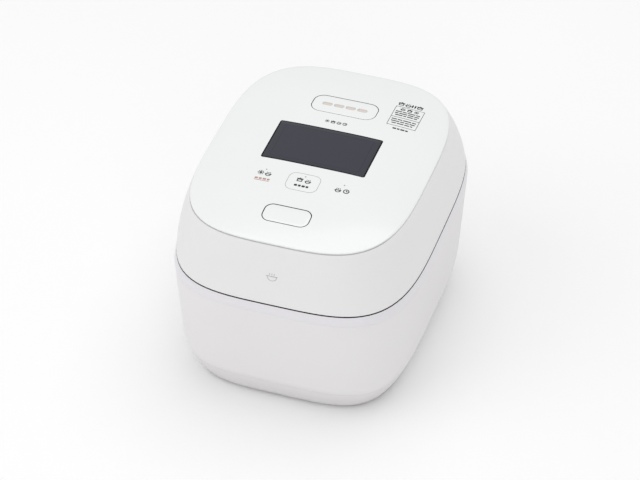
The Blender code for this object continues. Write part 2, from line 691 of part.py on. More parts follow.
def make_lid_liner():
    """The underside of the lid, with the recess for the inner lid and the two hinge arms."""
    rings = [
        circle(106.5, 156.5),
        circle(110.5, lambda y: seam_height(y) + 2.4),
        lid_ring(0, WALL + 3 * GAP, 1.4),
    ]
    liner = shell("lid_liner", rings, 2.2, "white_frame", caps=(True, False), offset=1)
    cut(liner, box("liner_notch", (-NOTCH_HALF, 157.5, 140), (NOTCH_HALF, REAR + 5, 190)))
    cut(liner, box("hook_slot", (-7.5, -161, 140), (7.5, -147, 160)))
    for name, spot, radius in (("ball", BALL_VALVE, 14), ("relief", RELIEF_VALVE, 12), ("duct", (0, DUCT_Y), 6.2)):
        cut(liner, cylinder(f"{name}_hole", radius, (*spot, 145), 30, segments=16))
    for side in (-1, 1):
        low, high = sorted(side * end for end in LID_KNUCKLE)
        join(liner, cylinder(f"lid_knuckle_{side}", KNUCKLE_RADIUS, (low, HINGE_Y, HINGE_Z), high - low, "X"))
        join(liner, box(f"hinge_arm_{side}", (low, 151, 158.5), (high, 161.2, 168.6)))
    cut(liner, cylinder("liner_pin_bore", PIN_RADIUS + GAP, (-80, HINGE_Y, HINGE_Z), 160, "X", segments=16))


def make_hinge():
    cylinder("hinge_pin", PIN_RADIUS, (-PIN_HALF, HINGE_Y, HINGE_Z), 2 * PIN_HALF, "X", "steel", 16)
    coil("lid_spring", (HINGE_Y, HINGE_Z), 3.8, -20, 20, 9, 0.7, "steel", axis="X", per_turn=8)
    outer = arc((HINGE_Y, HINGE_Z), KNUCKLE_RADIUS, 60, -150, 8)
    inner = arc((HINGE_Y, HINGE_Z), KNUCKLE_RADIUS - 1.3, -150, 60, 8)
    prism("hinge_cover", outer + inner, -23, 23, "white_frame", plane="YZ")


def make_inner_lid():
    """The removable steel lid with its seal, the ball valve and the relief valve."""
    profile = [
        (0, 151.6), (90, 151.6), (94, 153.4), (99, 153.4), (99, 154.6), (93.6, 154.6), (89.6, 152.8), (0, 152.8),
    ]
    plate = turned("inner_lid", profile, (0, POT_Y), "steel")
    for name, spot, radius in (("ball", BALL_VALVE, 3.8), ("relief", RELIEF_VALVE, 3.8), ("steam", (0, DUCT_Y), 3.6)):
        cut(plate, cylinder(f"lid_{name}_port", radius, (*spot, 145), 20, segments=12))
    seal = [(95.5, 150.0), (98, 148.3), (104.4, 148.3), (105, 155.9), (100, 155.9), (99.5, 153.0), (95.5, 153.0)]
    turned("lid_seal", seal, (0, POT_Y), "silicone")
    seat = [(1.8, 153.1), (12, 153.1), (12, 156.0), (1.8, 156.0)]
    turned("valve_seat", seat, BALL_VALVE, "steel", 20)
    ball_z = 161.8
    bm = bmesh.new()
    bmesh.ops.create_uvsphere(bm, u_segments=16, v_segments=8, radius=5.5)
    bmesh.ops.translate(bm, vec=(*BALL_VALVE, ball_z), verts=bm.verts)
    set_origin(finish_object(bm, "pressure_ball", "steel"), *BALL_VALVE, ball_z)
    relief = [(0, 153.1), (9, 153.1), (9, 156), (6, 157.5), (6, 166), (4.5, 168), (0, 168)]
    turned("relief_valve", relief, RELIEF_VALVE, "steel", 20)


def make_solenoid():
    body = box("solenoid", (60, 1, 159.2), (84, 19, 175), "grey_plastic")
    cut(body, cylinder("solenoid_bore", 2.9, (55, 10, 163.2), 24, "X", segments=14))
    plunger = cylinder("solenoid_plunger", 2.5, (46.0, 10, 163.2), 26, "X", "steel", 14)
    set_origin(plunger, 46, 10, 163.2)


def build():
    clear_scene()
    make_case_shell()
    make_upper_frame()
    make_base_cover()
    make_feet()
    make_pot()
    make_pot_well()
    make_coil_clamp()
    make_temperature_sensor()
    make_boards()
    make_fan()
    make_cord_reel()
    make_cord_outlet()
    make_lid_shell()
    crown_block("crown", 20)
    make_top_panel()
    make_display()
    make_open_button()
    make_latch()
    make_steam_cap()
    make_steam_well()
    make_lid_liner()
    make_hinge()
    make_inner_lid()
    make_solenoid()


build()
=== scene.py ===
"""A white induction rice cooker with a hinged lid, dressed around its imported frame.

Every length is in metres, and MM turns a maker's millimetres into them. The front faces -Y.
"""

import math

import bmesh
import bpy
from mathutils import Matrix, Vector
from mathutils.kdtree import KDTree


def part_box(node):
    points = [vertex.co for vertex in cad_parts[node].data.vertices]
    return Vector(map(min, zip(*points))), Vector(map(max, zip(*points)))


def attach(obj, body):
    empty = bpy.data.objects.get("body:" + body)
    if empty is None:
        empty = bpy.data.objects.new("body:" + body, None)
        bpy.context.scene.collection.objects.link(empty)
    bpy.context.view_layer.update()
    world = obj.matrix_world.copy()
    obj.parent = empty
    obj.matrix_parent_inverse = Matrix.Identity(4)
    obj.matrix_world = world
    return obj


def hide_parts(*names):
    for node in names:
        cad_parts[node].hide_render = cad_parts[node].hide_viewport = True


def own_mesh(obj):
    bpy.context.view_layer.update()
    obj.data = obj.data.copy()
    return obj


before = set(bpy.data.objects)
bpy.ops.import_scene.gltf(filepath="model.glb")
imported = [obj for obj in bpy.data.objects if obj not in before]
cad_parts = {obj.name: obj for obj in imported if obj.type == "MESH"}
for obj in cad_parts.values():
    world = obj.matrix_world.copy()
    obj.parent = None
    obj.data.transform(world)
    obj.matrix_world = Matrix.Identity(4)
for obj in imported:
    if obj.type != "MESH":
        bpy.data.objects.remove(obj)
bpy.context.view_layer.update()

bl_info = {
    "name": "Induction Rice Cooker",
    "version": (1, 0, 0),
    "blender": (4, 5, 0),
    "location": "View3D > Sidebar > Rice Cooker",
    "description": "Builds the visible shells, keys, prints, pot and lid parts of a rice cooker",
    "category": "Add Mesh",
}

MM = 0.001
AROUND = 160  # points on every outer outline


def srgb(code):
    """The linear colour of an sRGB hex code."""
    parts = [int(code[i : i + 2], 16) / 255 for i in (1, 3, 5)]
    return tuple(c / 12.92 if c <= 0.04045 else ((c + 0.055) / 1.055) ** 2.4 for c in parts)


# Properties


def length(name, description, default):
    """A size property, with its default in millimetres."""
    return bpy.props.FloatProperty(name=name, description=description, default=default * MM, unit="LENGTH")


def colour(name, description, default):
    """A colour property, with its default as an sRGB hex code."""
    return bpy.props.FloatVectorProperty(
        name=name, description=description, default=srgb(default), subtype="COLOR", min=0, max=1
    )


class CookerSizes(bpy.types.PropertyGroup):
    """The driving sizes of the cooker's form."""

    seam_half_width: length("Seam half width", "Half of the width where lid and case meet", 135.3)
    seam_half_depth: length("Seam half depth", "Half of the depth where lid and case meet", 168.1)
    seam_height: length("Seam height", "Height of the seam over the middle of the footprint", 155.3)
    seam_gap: length("Seam gap", "Open height of the seam between lid and case", 1.2)
    wall: length("Wall", "Thickness of the moulded shells", 2.4)
    panel_half_width: length("Panel half width", "Half of the width of the top panel", 120.3)
    panel_half_depth: length("Panel half depth", "Half of the depth of the top panel", 154.9)
    panel_edge: length("Panel edge height", "Height of the top panel's edge", 225.3)
    crown: length("Crown", "How far the panel's middle stands over its edge", 9.7)
    key_gap: length("Key gap", "Open width round the open key", 0.95)
    cap_gap: length("Cap gap", "Open width round the steam cap", 0.7)
    # The dark seal round the window is painted shade: a near-black sheet under the gap
    window_gap: length("Window gap", "Width of the dark seal round the window", 1.2)


class CookerColours(bpy.types.PropertyGroup):
    """The colours of the cooker's visible finishes."""

    panel: colour("Panel", "High-gloss top panel, open key and steam cap", "#EEF1F0")
    lid_side: colour("Lid side", "Satin side of the lid", "#EAE9E9")
    case: colour("Case", "Satin side of the case", "#E6E4E5")
    base: colour("Base", "Base cover round the feet", "#DFDDDE")
    rim: colour("Rim", "Band under the seam and the deck round the pot", "#E4E2E6")
    window: colour("Window", "Smoked window over the display", "#2D2E3A")
    ink: colour("Ink", "Dark print on the panel", "#322F2E")
    soft_ink: colour("Soft ink", "Grey print of outlines", "#A3A3A1")
    warm_ink: colour("Warm ink", "Red-brown second line of print", "#B98F88")


# The outer form


SEAM_SLOPE = 0.0466  # the seam climbs towards the rear


def seam_z(s, y):
    """Height of the seam over a point."""
    return s.seam_height + SEAM_SLOPE * y


def superellipse(half_width, half_depth, power, centre_y, height, around=AROUND):
    """A ring of points with round corners. Its height is a number or a function of y."""
    points = []
    for step in range(around):
        angle = math.tau * step / around
        across, along = math.cos(angle), math.sin(angle)
        reach = (abs(across / half_width) ** power + abs(along / half_depth) ** power) ** (-1 / power)
        y = centre_y + reach * along
        points.append(Vector((reach * across, y, height(y) if callable(height) else height)))
    return points


CASE_Y = -2.2 * MM
PANEL_Y = -8.3 * MM
PANEL_POWER = 3.5
SEAM_POWER = 3.81
POT_Y = -26 * MM


def case_ring(s, depth, inset=0.0):
    """The case's outline at a depth below the seam, both in millimetres.

    The side swells out under the seam, draws in slowly, and turns under near the floor.
    """
    if depth < 10:
        swell = 2.2 * (1 - (1 - depth / 10) ** 2)
    else:
        swell = 2.2 - 0.078 * (depth - 10) - 0.0061 * max(0.0, depth - 105) ** 2
    grow = (swell - inset) * MM
    fade = max(0.0, 1 - depth / 124)
    return superellipse(
        s.seam_half_width + grow,
        s.seam_half_depth + grow,
        SEAM_POWER + 0.4 * depth * MM / s.seam_height,
        CASE_Y,
        lambda y: s.seam_height - depth * MM + SEAM_SLOPE * y * fade,
    )


def lid_measures(s, share):
    """Half width, half depth, power and centre of the lid, from the seam at 0 to the panel's edge at 1."""
    return (
        s.seam_half_width - (1.95 * share + 13.05 * share**2) * MM,
        s.seam_half_depth - (2.85 * share + 10.35 * share**2) * MM,
        SEAM_POWER + (PANEL_POWER - SEAM_POWER) * share,
        CASE_Y + (PANEL_Y - CASE_Y) * share,
    )


def lid_height(s, share, y):
    """Height of the lid's side, from the seam at 0 to the panel's edge at 1."""
    return (seam_z(s, y) + s.seam_gap / 2) * (1 - share) + s.panel_edge * share


def lid_ring(s, share, inset=0.0, lift=0.0):
    half_width, half_depth, power, centre = lid_measures(s, share)
    return superellipse(
        half_width - inset, half_depth - inset, power, centre, lambda y: lid_height(s, share, y) + lift
    )


def crown_rise(s, share):
    """How far the panel stands over its edge, from its middle at 0 to its edge at 1."""
    return s.crown * (1 - min(1.0, share) ** 3)


def panel_ring(s, share, drop=0.0):
    height = s.panel_edge + crown_rise(s, share) - drop
    half_width, half_depth = s.panel_half_width * share, s.panel_half_depth * share
    return superellipse(half_width, half_depth, PANEL_POWER, PANEL_Y, height)


def crown_height(s, x, y):
    """The top of the crowned panel over a point."""
    across, along = abs(x / s.panel_half_width), abs((y - PANEL_Y) / s.panel_half_depth)
    return s.panel_edge + crown_rise(s, (across**PANEL_POWER + along**PANEL_POWER) ** (1 / PANEL_POWER))


def pot_ring(radius, height):
    return superellipse(radius * MM, radius * MM, 2, POT_Y, height)


# Modelling


def select_only(obj):
    """Selects one object, or none, in object mode."""
    if bpy.context.object and bpy.context.object.mode != "OBJECT":
        bpy.ops.object.mode_set(mode="OBJECT")
    bpy.ops.object.select_all(action="DESELECT")
    if obj:
        obj.select_set(True)
        bpy.context.view_layer.objects.active = obj


def start_ring(name, points):
    """A circle primitive whose points take the places given, left in edit mode with all of it selected."""
    select_only(None)
    middle = sum(points, Vector()) / len(points)
    radius = max((point - middle).length for point in points)
    bpy.ops.mesh.primitive_circle_add(vertices=len(points), radius=radius, location=middle)
    obj = bpy.context.object
    obj.name = name
    bpy.ops.object.transform_apply(location=True, rotation=False, scale=False)
    for vert, point in zip(obj.data.vertices, points):
        vert.co = point
    bpy.ops.object.mode_set(mode="EDIT")
    bpy.ops.mesh.select_all(action="SELECT")
    return obj


def tidy_mesh(obj):
    """Merges doubles, drops what is left loose, and points every face outwards."""
    select_only(obj)
    bpy.ops.object.mode_set(mode="EDIT")
    bpy.ops.mesh.select_all(action="SELECT")
    bpy.ops.mesh.remove_doubles(threshold=0.001 * MM)
    bpy.ops.mesh.dissolve_degenerate(threshold=0.001 * MM)
    bpy.ops.mesh.delete_loose(use_verts=True, use_edges=True, use_faces=False)
    bpy.ops.mesh.select_all(action="SELECT")
    bpy.ops.mesh.normals_make_consistent(inside=False)
    bpy.ops.object.mode_set(mode="OBJECT")


def loft(name, rings, caps=(False, False)):
    """Extrudes the rim of the first ring through all the others. Caps close the first and the last ring."""
    obj = start_ring(name, rings[0])
    if caps[0]:
        bpy.ops.mesh.edge_face_add()
    for before, points in zip(rings, rings[1:]):
        bpy.ops.mesh.extrude_edges_move()
        tree = KDTree(len(before))
        for index, point in enumerate(before):
            tree.insert(point, index)
        tree.balance()
        mesh = bmesh.from_edit_mesh(obj.data)
        for vert in mesh.verts:
            if vert.select:
                vert.co = points[tree.find(vert.co)[1]]
        bmesh.update_edit_mesh(obj.data)
    if caps[1]:
        bpy.ops.mesh.edge_face_add()
    tidy_mesh(obj)
    return obj


def turned(name, profile, centre, steps=96):
    """Spins a closed profile of (radius, height) points, in millimetres, about an upright axis."""
    x, y = centre
    obj = start_ring(name, [Vector((x + radius * MM, y, height * MM)) for radius, height in profile])
    bpy.ops.mesh.spin(steps=steps, angle=math.tau, center=(x, y, 0), axis=(0, 0, 1))
    tidy_mesh(obj)
    return obj


def block(name, low, high):
    """A box between two corners in millimetres."""
    select_only(None)
    low, high = Vector(low) * MM, Vector(high) * MM
    bpy.ops.mesh.primitive_cube_add(size=1, location=(low + high) / 2, scale=high - low)
    obj = bpy.context.object
    obj.name = name
    bpy.ops.object.transform_apply(location=True, rotation=True, scale=True)
    return obj


def bar(name, radius, start, end, around=48):
    """A round bar between two points, in millimetres."""
    select_only(None)
    start, end = Vector(start) * MM, Vector(end) * MM
    turn = (end - start).to_track_quat("Z", "Y").to_euler()
    bpy.ops.mesh.primitive_cylinder_add(
        vertices=around,
        radius=radius * MM,
        depth=(end - start).length,
        location=(start + end) / 2,
        rotation=turn,
    )
    obj = bpy.context.object
    obj.name = name
    bpy.ops.object.transform_apply(location=True, rotation=True, scale=True)
    return obj


def apply_modifier(obj, kind, **settings):
    """Adds a modifier with its settings and applies it."""
    modifier = obj.modifiers.new(kind.title(), kind)
    for key, value in settings.items():
        setattr(modifier, key, value)
    select_only(obj)
    bpy.ops.object.modifier_apply(modifier=modifier.name)


def thicken(obj, thickness, offset=-1):
    """Gives a skin its wall, on the inside unless the offset says otherwise."""
    apply_modifier(obj, "SOLIDIFY", thickness=thickness, offset=offset, use_even_offset=True)


def round_edges(obj, width, segments=3, angle=40):
    """Rounds every edge sharper than an angle, by a width in millimetres."""
    apply_modifier(
        obj,
        "BEVEL",
        width=width * MM,
        segments=segments,
        limit_method="ANGLE",
        angle_limit=math.radians(angle),
    )


def combine(obj, others, operation="DIFFERENCE"):
    """Cuts other solids out of a piece, or joins them to it, and removes them."""
    for other in others:
        apply_modifier(obj, "BOOLEAN", object=other, operation=operation, solver="EXACT")
        bpy.data.objects.remove(other)


def slice_up(obj, step):
    """Cuts a flat piece into a grid, so that it can bend."""
    select_only(obj)
    low, high = Vector(obj.bound_box[0]), Vector(obj.bound_box[6])
    bpy.ops.object.mode_set(mode="EDIT")
    for axis in (0, 1):
        normal = Vector((axis == 0, axis == 1, 0))
        for number in range(1, int((high[axis] - low[axis]) / (step * MM))):
            bpy.ops.mesh.select_all(action="SELECT")
            place = normal * (low[axis] + number * step * MM)
            bpy.ops.mesh.bisect(plane_co=place, plane_no=normal)
    bpy.ops.object.mode_set(mode="OBJECT")


def bend(obj, surface):
    """Lays a flat piece on a surface, which gives the place of a flat point and its height over it."""
    for vert in obj.data.vertices:
        vert.co = surface(*vert.co)


def arc(centre, radius, start, end, steps):
    angles = [math.radians(start + (end - start) * i / steps) for i in range(steps + 1)]
    return [(centre[0] + radius * math.cos(a), centre[1] + radius * math.sin(a)) for a in angles]


def rounded_box(width, depth, radius, centre=(0, 0), steps=8, along=8):
    """A rectangle with round corners, anticlockwise in millimetres, with points along its sides too."""
    corners = []
    for turn, (sx, sy) in enumerate(((1, 1), (-1, 1), (-1, -1), (1, -1))):
        middle = (centre[0] + sx * (width / 2 - radius), centre[1] + sy * (depth / 2 - radius))
        corners.append(arc(middle, radius, 90 * turn, 90 * (turn + 1), steps))
    points = []
    for corner, after in zip(corners, corners[1:] + corners[:1]):
        points += corner
        start, end = Vector(corner[-1]), Vector(after[0])
        points += [tuple(start.lerp(end, i / along)) for i in range(1, along)]
    return points


def level(outline, height):
    """An outline in millimetres as a ring at a height in metres."""
    return [Vector((x * MM, y * MM, height)) for x, y in outline]


def prism(name, outline, low, high):
    """A flat outline with thickness, all in millimetres."""
    return loft(name, [level(outline, low * MM), level(outline, high * MM)], caps=(True, True))


def eased(points, radius, steps=3):
    """A closed profile with its corners eased by a radius, as far as their sides allow."""
    result = []
    for before, corner, after in zip(points[-1:] + points[:-1], points, points[1:] + points[:1]):
        corner = Vector(corner)
        if corner.x == 0:
            result.append(tuple(corner))
            continue
        ends = []
        for other in (before, after):
            side = Vector(other) - corner
            ends.append(corner + side * min(0.45, radius / side.length))
        for i in range(steps + 1):
            t = i / steps
            result.append(tuple(ends[0] * (1 - t) ** 2 + corner * 2 * t * (1 - t) + ends[1] * t**2))
    return result


def finish_piece(obj, finish, body, slot, *nodes, smooth=32):
    """Gives a piece its finish and its body, and hides the CAD nodes that it stands for."""
    select_only(obj)
    bpy.ops.object.shade_smooth_by_angle(angle=math.radians(smooth))
    obj.data.materials.clear()
    obj.data.materials.append(finish)
    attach(obj, body)
    if nodes:
        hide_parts(*nodes)
    return obj


# Finishes


def add(tree, kind, inputs, output=0, **settings):
    """Adds a shader node with its settings, sets or links its inputs, and returns one of its outputs."""
    node = tree.nodes.new("ShaderNode" + kind)
    for key, value in settings.items():
        setattr(node, key, value)
    for key, value in inputs.items():
        if isinstance(value, bpy.types.NodeSocket):
            tree.links.new(value, node.inputs[key])
        else:
            node.inputs[key].default_value = value
    return node.outputs[output]


def shaded(base, factor):
    """A colour with an alpha, made lighter or darker by a factor."""
    return (*(min(1.0, part * factor) for part in base), 1.0)


def new_finish(name, base, roughness, metallic=0.0, **extra):
    """A new material, its shader, and a place in the object's own coordinates, in millimetres."""
    finish = bpy.data.materials.new(name)
    finish.use_nodes = True
    tree = finish.node_tree
    shader = tree.nodes["Principled BSDF"]
    shader.inputs["Base Color"].default_value = shaded(base, 1)
    shader.inputs["Roughness"].default_value = roughness
    shader.inputs["Metallic"].default_value = metallic
    for key, value in extra.items():
        shader.inputs[key.replace("_", " ")].default_value = value
    coordinates = add(tree, "TexCoord", {}, "Object")
    return finish, tree, shader, add(tree, "Mapping", {"Vector": coordinates, "Scale": (1 / MM,) * 3})


def connect(tree, shader, colour=None, roughness=None, height=None, depth=0.0):
    """Links a colour, a roughness and a relief of a depth in millimetres to the shader."""
    if colour:
        tree.links.new(colour, shader.inputs["Base Color"])
    if roughness:
        tree.links.new(roughness, shader.inputs["Roughness"])
    if height:
        relief = add(tree, "Bump", {"Height": height, "Distance": depth * MM})
        tree.links.new(relief, shader.inputs["Normal"])


def distance_from(tree, place, centre):
    """Distance from an upright axis, in millimetres."""
    middle = (centre[0] / MM, centre[1] / MM, 0)
    offset = add(tree, "VectorMath", {0: place, 1: middle}, operation="SUBTRACT")
    flat = add(tree, "VectorMath", {0: offset, 1: (1, 1, 0)}, operation="MULTIPLY")
    return add(tree, "VectorMath", {0: flat}, "Value", operation="LENGTH")


def ripples(tree, distance, pitch):
    """A wave of a pitch in millimetres along a distance, from 0 to 1."""
    turns = add(tree, "Math", {0: distance, 1: math.tau / pitch}, operation="MULTIPLY")
    wave = add(tree, "Math", {0: turns}, operation="SINE")
    return add(tree, "Math", {0: wave, 1: 0.5, 2: 0.5}, operation="MULTIPLY_ADD")


def moulded(name, base, roughness, grain=0.6, depth=0.004, **extra):
    """Injection-moulded plastic or rubber.

    The tool's texture breaks up the highlights, and the gloss wanders a little where the melt cooled
    unevenly. A real grain is about 0.1 mm. It is drawn coarser here, so that it shows.
    """
    finish, tree, shader, place = new_finish(name, base, roughness, **extra)
    cooling = add(tree, "TexNoise", {"Vector": place, "Scale": 1 / 45, "Detail": 3}, "Fac")
    texture = add(tree, "TexNoise", {"Vector": place, "Scale": 1 / grain, "Detail": 2}, "Fac")
    tones = {"Factor": cooling, "A": shaded(base, 0.985), "B": shaded(base, 1.01)}
    tone = add(tree, "Mix", tones, "Result", data_type="RGBA")
    gloss = add(tree, "Math", {0: cooling, 1: texture}, operation="ADD")
    limits = {"From Max": 2, "To Min": roughness * 0.75, "To Max": roughness * 1.25}
    gloss = add(tree, "MapRange", {"Value": gloss, **limits})
    connect(tree, shader, tone, gloss, texture, depth)
    return finish


def spun(name, base, roughness, centre, pitch):
    """Metal spun or pressed round an axis: fine rings, which stretch the highlights into a cross.

    Real rings are about 0.2 mm apart. They are drawn further apart, so that they show.
    """
    finish, tree, shader, place = new_finish(name, base, roughness, 1.0)
    wander = add(tree, "TexNoise", {"Vector": place, "Scale": 1 / 6}, "Fac")
    distance = {0: wander, 1: pitch, 2: distance_from(tree, place, centre)}
    distance = add(tree, "Math", distance, operation="MULTIPLY_ADD")
    rings = ripples(tree, distance, pitch)
    cloud = add(tree, "TexNoise", {"Vector": place, "Scale": 1 / 25}, "Fac")
    tones = {"Factor": cloud, "A": shaded(base, 0.93), "B": shaded(base, 1.04)}
    tone = add(tree, "Mix", tones, "Result", data_type="RGBA")
    gloss = add(tree, "MapRange", {"Value": rings, "To Min": roughness * 0.8, "To Max": roughness * 1.25})
    connect(tree, shader, tone, gloss, rings, 0.012)
    return finish


def drawn(name, base, roughness):
    """Drawn or rolled metal: long lines along X, and gloss that changes from line to line.

    The lines are 0.5 mm apart, coarser than real die lines, so that they show.
    """
    finish, tree, shader, place = new_finish(name, base, roughness, 1.0)
    stretched = add(tree, "VectorMath", {0: place, 1: (0.05, 1, 1)}, operation="MULTIPLY")
    lines = add(tree, "TexNoise", {"Vector": stretched, "Scale": 1 / 0.5}, "Fac")
    tones = {"Factor": lines, "A": shaded(base, 0.9), "B": shaded(base, 1.06)}
    tone = add(tree, "Mix", tones, "Result", data_type="RGBA")
    gloss = add(tree, "MapRange", {"Value": lines, "To Min": roughness * 0.7, "To Max": roughness * 1.3})
    connect(tree, shader, tone, gloss, lines, 0.004)
    return finish


def printed(name, base):
    """Printed ink: an even, dull film with a slight mottle of 0.4 mm from the mesh of the screen."""
    finish, tree, shader, place = new_finish(name, base, 0.45)
    mottle = add(tree, "TexNoise", {"Vector": place, "Scale": 1 / 0.4}, "Fac")
    tones = {"Factor": mottle, "A": shaded(base, 0.92), "B": shaded(base, 1.08)}
    tone = add(tree, "Mix", tones, "Result", data_type="RGBA")
    gloss = add(tree, "MapRange", {"Value": mottle, "To Min": 0.38, "To Max": 0.52})
    connect(tree, shader, tone, gloss)
    return finish


def outside_rectangle(tree, place, middle_y, half_width, half_depth):
    """Millimetres by which a point lies outside a rectangle."""
    offset = add(tree, "VectorMath", {0: place, 1: (0, middle_y, 0)}, operation="SUBTRACT")
    folded = add(tree, "VectorMath", {0: offset}, operation="ABSOLUTE")
    beyond = add(tree, "VectorMath", {0: folded, 1: (half_width, half_depth, 0)}, operation="SUBTRACT")
    x = add(tree, "SeparateXYZ", {"Vector": beyond}, "X")
    y = add(tree, "SeparateXYZ", {"Vector": beyond}, "Y")
    return add(tree, "Math", {0: x, 1: y}, operation="MAXIMUM")


def smoked_acrylic(name, base):
    """Smoked acrylic, cast and polished: it mirrors the room, and shows the display and a near-black edge that is
    partly a printed border and partly painted shade.
    """
    finish, tree, shader, place = new_finish(name, base, 0.08)
    half_width, half_depth = WINDOW_SIZE[0] / 2, WINDOW_SIZE[1] / 2
    middle = WINDOW_Y + PANEL_MID
    # Painted shade: the near-black rim is a printed border darkened to stand in for the shadow at the window's
    # edge
    rim = outside_rectangle(tree, place, middle, half_width - 1.9, half_depth - 1.9)
    rim = add(tree, "MapRange", {"Value": rim, "From Min": -0.3, "From Max": 0.2})
    outline = outside_rectangle(tree, place, middle, half_width - 8.65, half_depth - 6.3)
    outline = add(tree, "Math", {0: outline, 1: 0.0, 2: 0.5}, operation="COMPARE")
    cloud = add(tree, "TexNoise", {"Vector": place, "Scale": 1 / 30}, "Fac")
    tones = {"Factor": cloud, "A": shaded(base, 0.97), "B": shaded(base, 1.03)}
    tone = add(tree, "Mix", tones, "Result", data_type="RGBA")
    for pattern, factor in ((outline, 0.7), (rim, 0.1)):
        dark = {"Factor": pattern, "A": tone, "B": shaded(base, factor)}
        tone = add(tree, "Mix", dark, "Result", data_type="RGBA")
    gloss = add(tree, "MapRange", {"Value": cloud, "To Min": 0.07, "To Max": 0.1})
    connect(tree, shader, tone, gloss)
    return finish


def sprayed_coat(name, base):
    """Fluoropolymer sprayed on the spun pot: dark and dull, with glittering mica and printed water lines.

    The flakes are 1.1 mm apart, coarser than real mica, so that they show.
    """
    finish, tree, shader, place = new_finish(name, base, 0.34, 0.35)
    flakes = add(tree, "TexVoronoi", {"Vector": place, "Scale": 1 / 1.1}, "Distance")
    flakes = add(tree, "MapRange", {"Value": flakes, "From Min": 0.16, "From Max": 0.08})
    height = add(tree, "SeparateXYZ", {"Vector": place}, "Z")
    across = add(tree, "SeparateXYZ", {"Vector": place}, "X")
    across = add(tree, "Math", {0: across}, operation="ABSOLUTE")
    radius = distance_from(tree, place, (0, POT_Y))
    lines = {"Value": ripples(tree, height, 12), "From Min": 0.985, "From Max": 0.995}
    lines = add(tree, "MapRange", lines)
    limits = ((across, 22, 21), (height, 74, 75), (height, 129, 128), (radius, 99.5, 99.0))
    for value, outer, inner in limits:
        inside = add(tree, "MapRange", {"Value": value, "From Min": outer, "From Max": inner})
        lines = add(tree, "Math", {0: lines, 1: inside}, operation="MULTIPLY")
    tones = {"Factor": flakes, "A": shaded(base, 1), "B": shaded(base, 4)}
    tone = add(tree, "Mix", tones, "Result", data_type="RGBA")
    tones = {"Factor": lines, "A": tone, "B": (0.45, 0.45, 0.44, 1)}
    tone = add(tree, "Mix", tones, "Result", data_type="RGBA")
    rings = ripples(tree, radius, 0.9)
    gloss = add(tree, "MapRange", {"Value": rings, "To Min": 0.28, "To Max": 0.4})
    connect(tree, shader, tone, gloss, rings, 0.004)
    return finish


def wound(name, base, centre, pitch):
    """Enamelled copper wire, wound: round turns side by side, with painted shade darkening the grooves between
    them.
    """
    finish, tree, shader, place = new_finish(name, base, 0.35, 0.9)
    turns = ripples(tree, distance_from(tree, place, centre), pitch)
    # Painted shade: the grooves between the turns drop to a third of the copper's colour
    tones = {"Factor": turns, "A": shaded(base, 0.35), "B": shaded(base, 1.1)}
    tone = add(tree, "Mix", tones, "Result", data_type="RGBA")
    gloss = add(tree, "MapRange", {"Value": turns, "To Min": 0.5, "To Max": 0.3})
    connect(tree, shader, tone, gloss, turns, 0.3)
    return finish


def masked_board(name, base):
    """Glass-fibre board under solder mask: green, with paler copper tracks and tinned pads that shine."""
    finish, tree, shader, place = new_finish(name, base, 0.4)
    courses = {"Vector": place, "Scale": 0.12, "Mortar Size": 0.03}
    shades = {"Color1": (0, 0, 0, 1), "Color2": (0.1, 0.1, 0.1, 1), "Mortar": (1, 1, 1, 1)}
    tracks = add(tree, "TexBrick", {**courses, **shades}, "Color")
    pads = add(tree, "TexVoronoi", {"Vector": place, "Scale": 0.3}, "Distance")
    pads = add(tree, "MapRange", {"Value": pads, "From Min": 0.24, "From Max": 0.2})
    tones = {"Factor": tracks, "A": shaded(base, 1), "B": shaded(base, 1.9)}
    tone = add(tree, "Mix", tones, "Result", data_type="RGBA")
    tones = {"Factor": pads, "A": tone, "B": (0.6, 0.6, 0.58, 1)}
    tone = add(tree, "Mix", tones, "Result", data_type="RGBA")
    gloss = add(tree, "MapRange", {"Value": pads, "To Min": 0.42, "To Max": 0.3})
    connect(tree, shader, tone, gloss, tracks, 0.04)
    tree.links.new(pads, shader.inputs["Metallic"])
    return finish


# Places and sizes on the panel, in millimetres from its middle

WINDOW_Y = 2.6
WINDOW_SIZE = (116.1, 67.4)
WINDOW_CORNER = 2.5
KEY_Y = -113.1
KEY_SIZE = (52.0, 26.2)
KEY_CORNER = 9.5
STEAM_Y = 80.0
STEAM_SIZE = (73.6, 31.4)
STEAM_CORNER = 11.9
OPENINGS = {  # size, corner, place and the name of the gap's size
    "window": (WINDOW_SIZE, WINDOW_CORNER, WINDOW_Y, "window_gap"),
    "key": (KEY_SIZE, KEY_CORNER, KEY_Y, "key_gap"),
    "steam": (STEAM_SIZE, STEAM_CORNER, STEAM_Y, "cap_gap"),
}
PANEL_MID = PANEL_Y / MM
HINGE_Y = 166.0
HINGE_Z = 162.0
KNUCKLE_RADIUS = 6.5
FRAME_KNUCKLE = (51, 71)  # from and to, on either side
LID_KNUCKLE = (24, 50)
PIN_BORE = 2.7
BALL_VALVE = (40, 10)
RELIEF_VALVE = (-40, 10)
DUCT = (0, STEAM_Y + PANEL_MID - 8)
SLOT_PITCH = 13.2
POT_OPENING = 104.2
LEDGE = 145.2  # the seat of the pot's rim
OUTLET = (-58.0, 44.0)
NOTCH_HALF = 73.0
PRINT = 0.1  # a print stands this high, so that no facet of the panel can swallow it


def on_panel(s):
    """The map from a flat place to the crowned panel."""
    return lambda x, y, lift: Vector((x, y + PANEL_Y, crown_height(s, x, y + PANEL_Y) + lift))


def on_lid_front(s, middle_share):
    """The map from a flat place to the front of the lid, with y running up its side."""

    def place(x, y, lift):
        side = s.panel_edge - seam_z(s, CASE_Y - s.seam_half_depth)
        half_width, half_depth, power, centre = lid_measures(s, middle_share + y / side)
        reach = half_depth * (1 - abs(x / half_width) ** power) ** (1 / power)
        front = centre - reach
        return Vector((x, front - lift, lid_height(s, middle_share + y / side, front)))

    return place


class CookerOperator(bpy.types.Operator):
    """Shared settings of the cooker's operators."""

    bl_options = {"REGISTER", "UNDO"}

    def execute(self, context):
        self.build(context.scene.cooker_sizes, context.scene.cooker_colours)
        return {"FINISHED"}


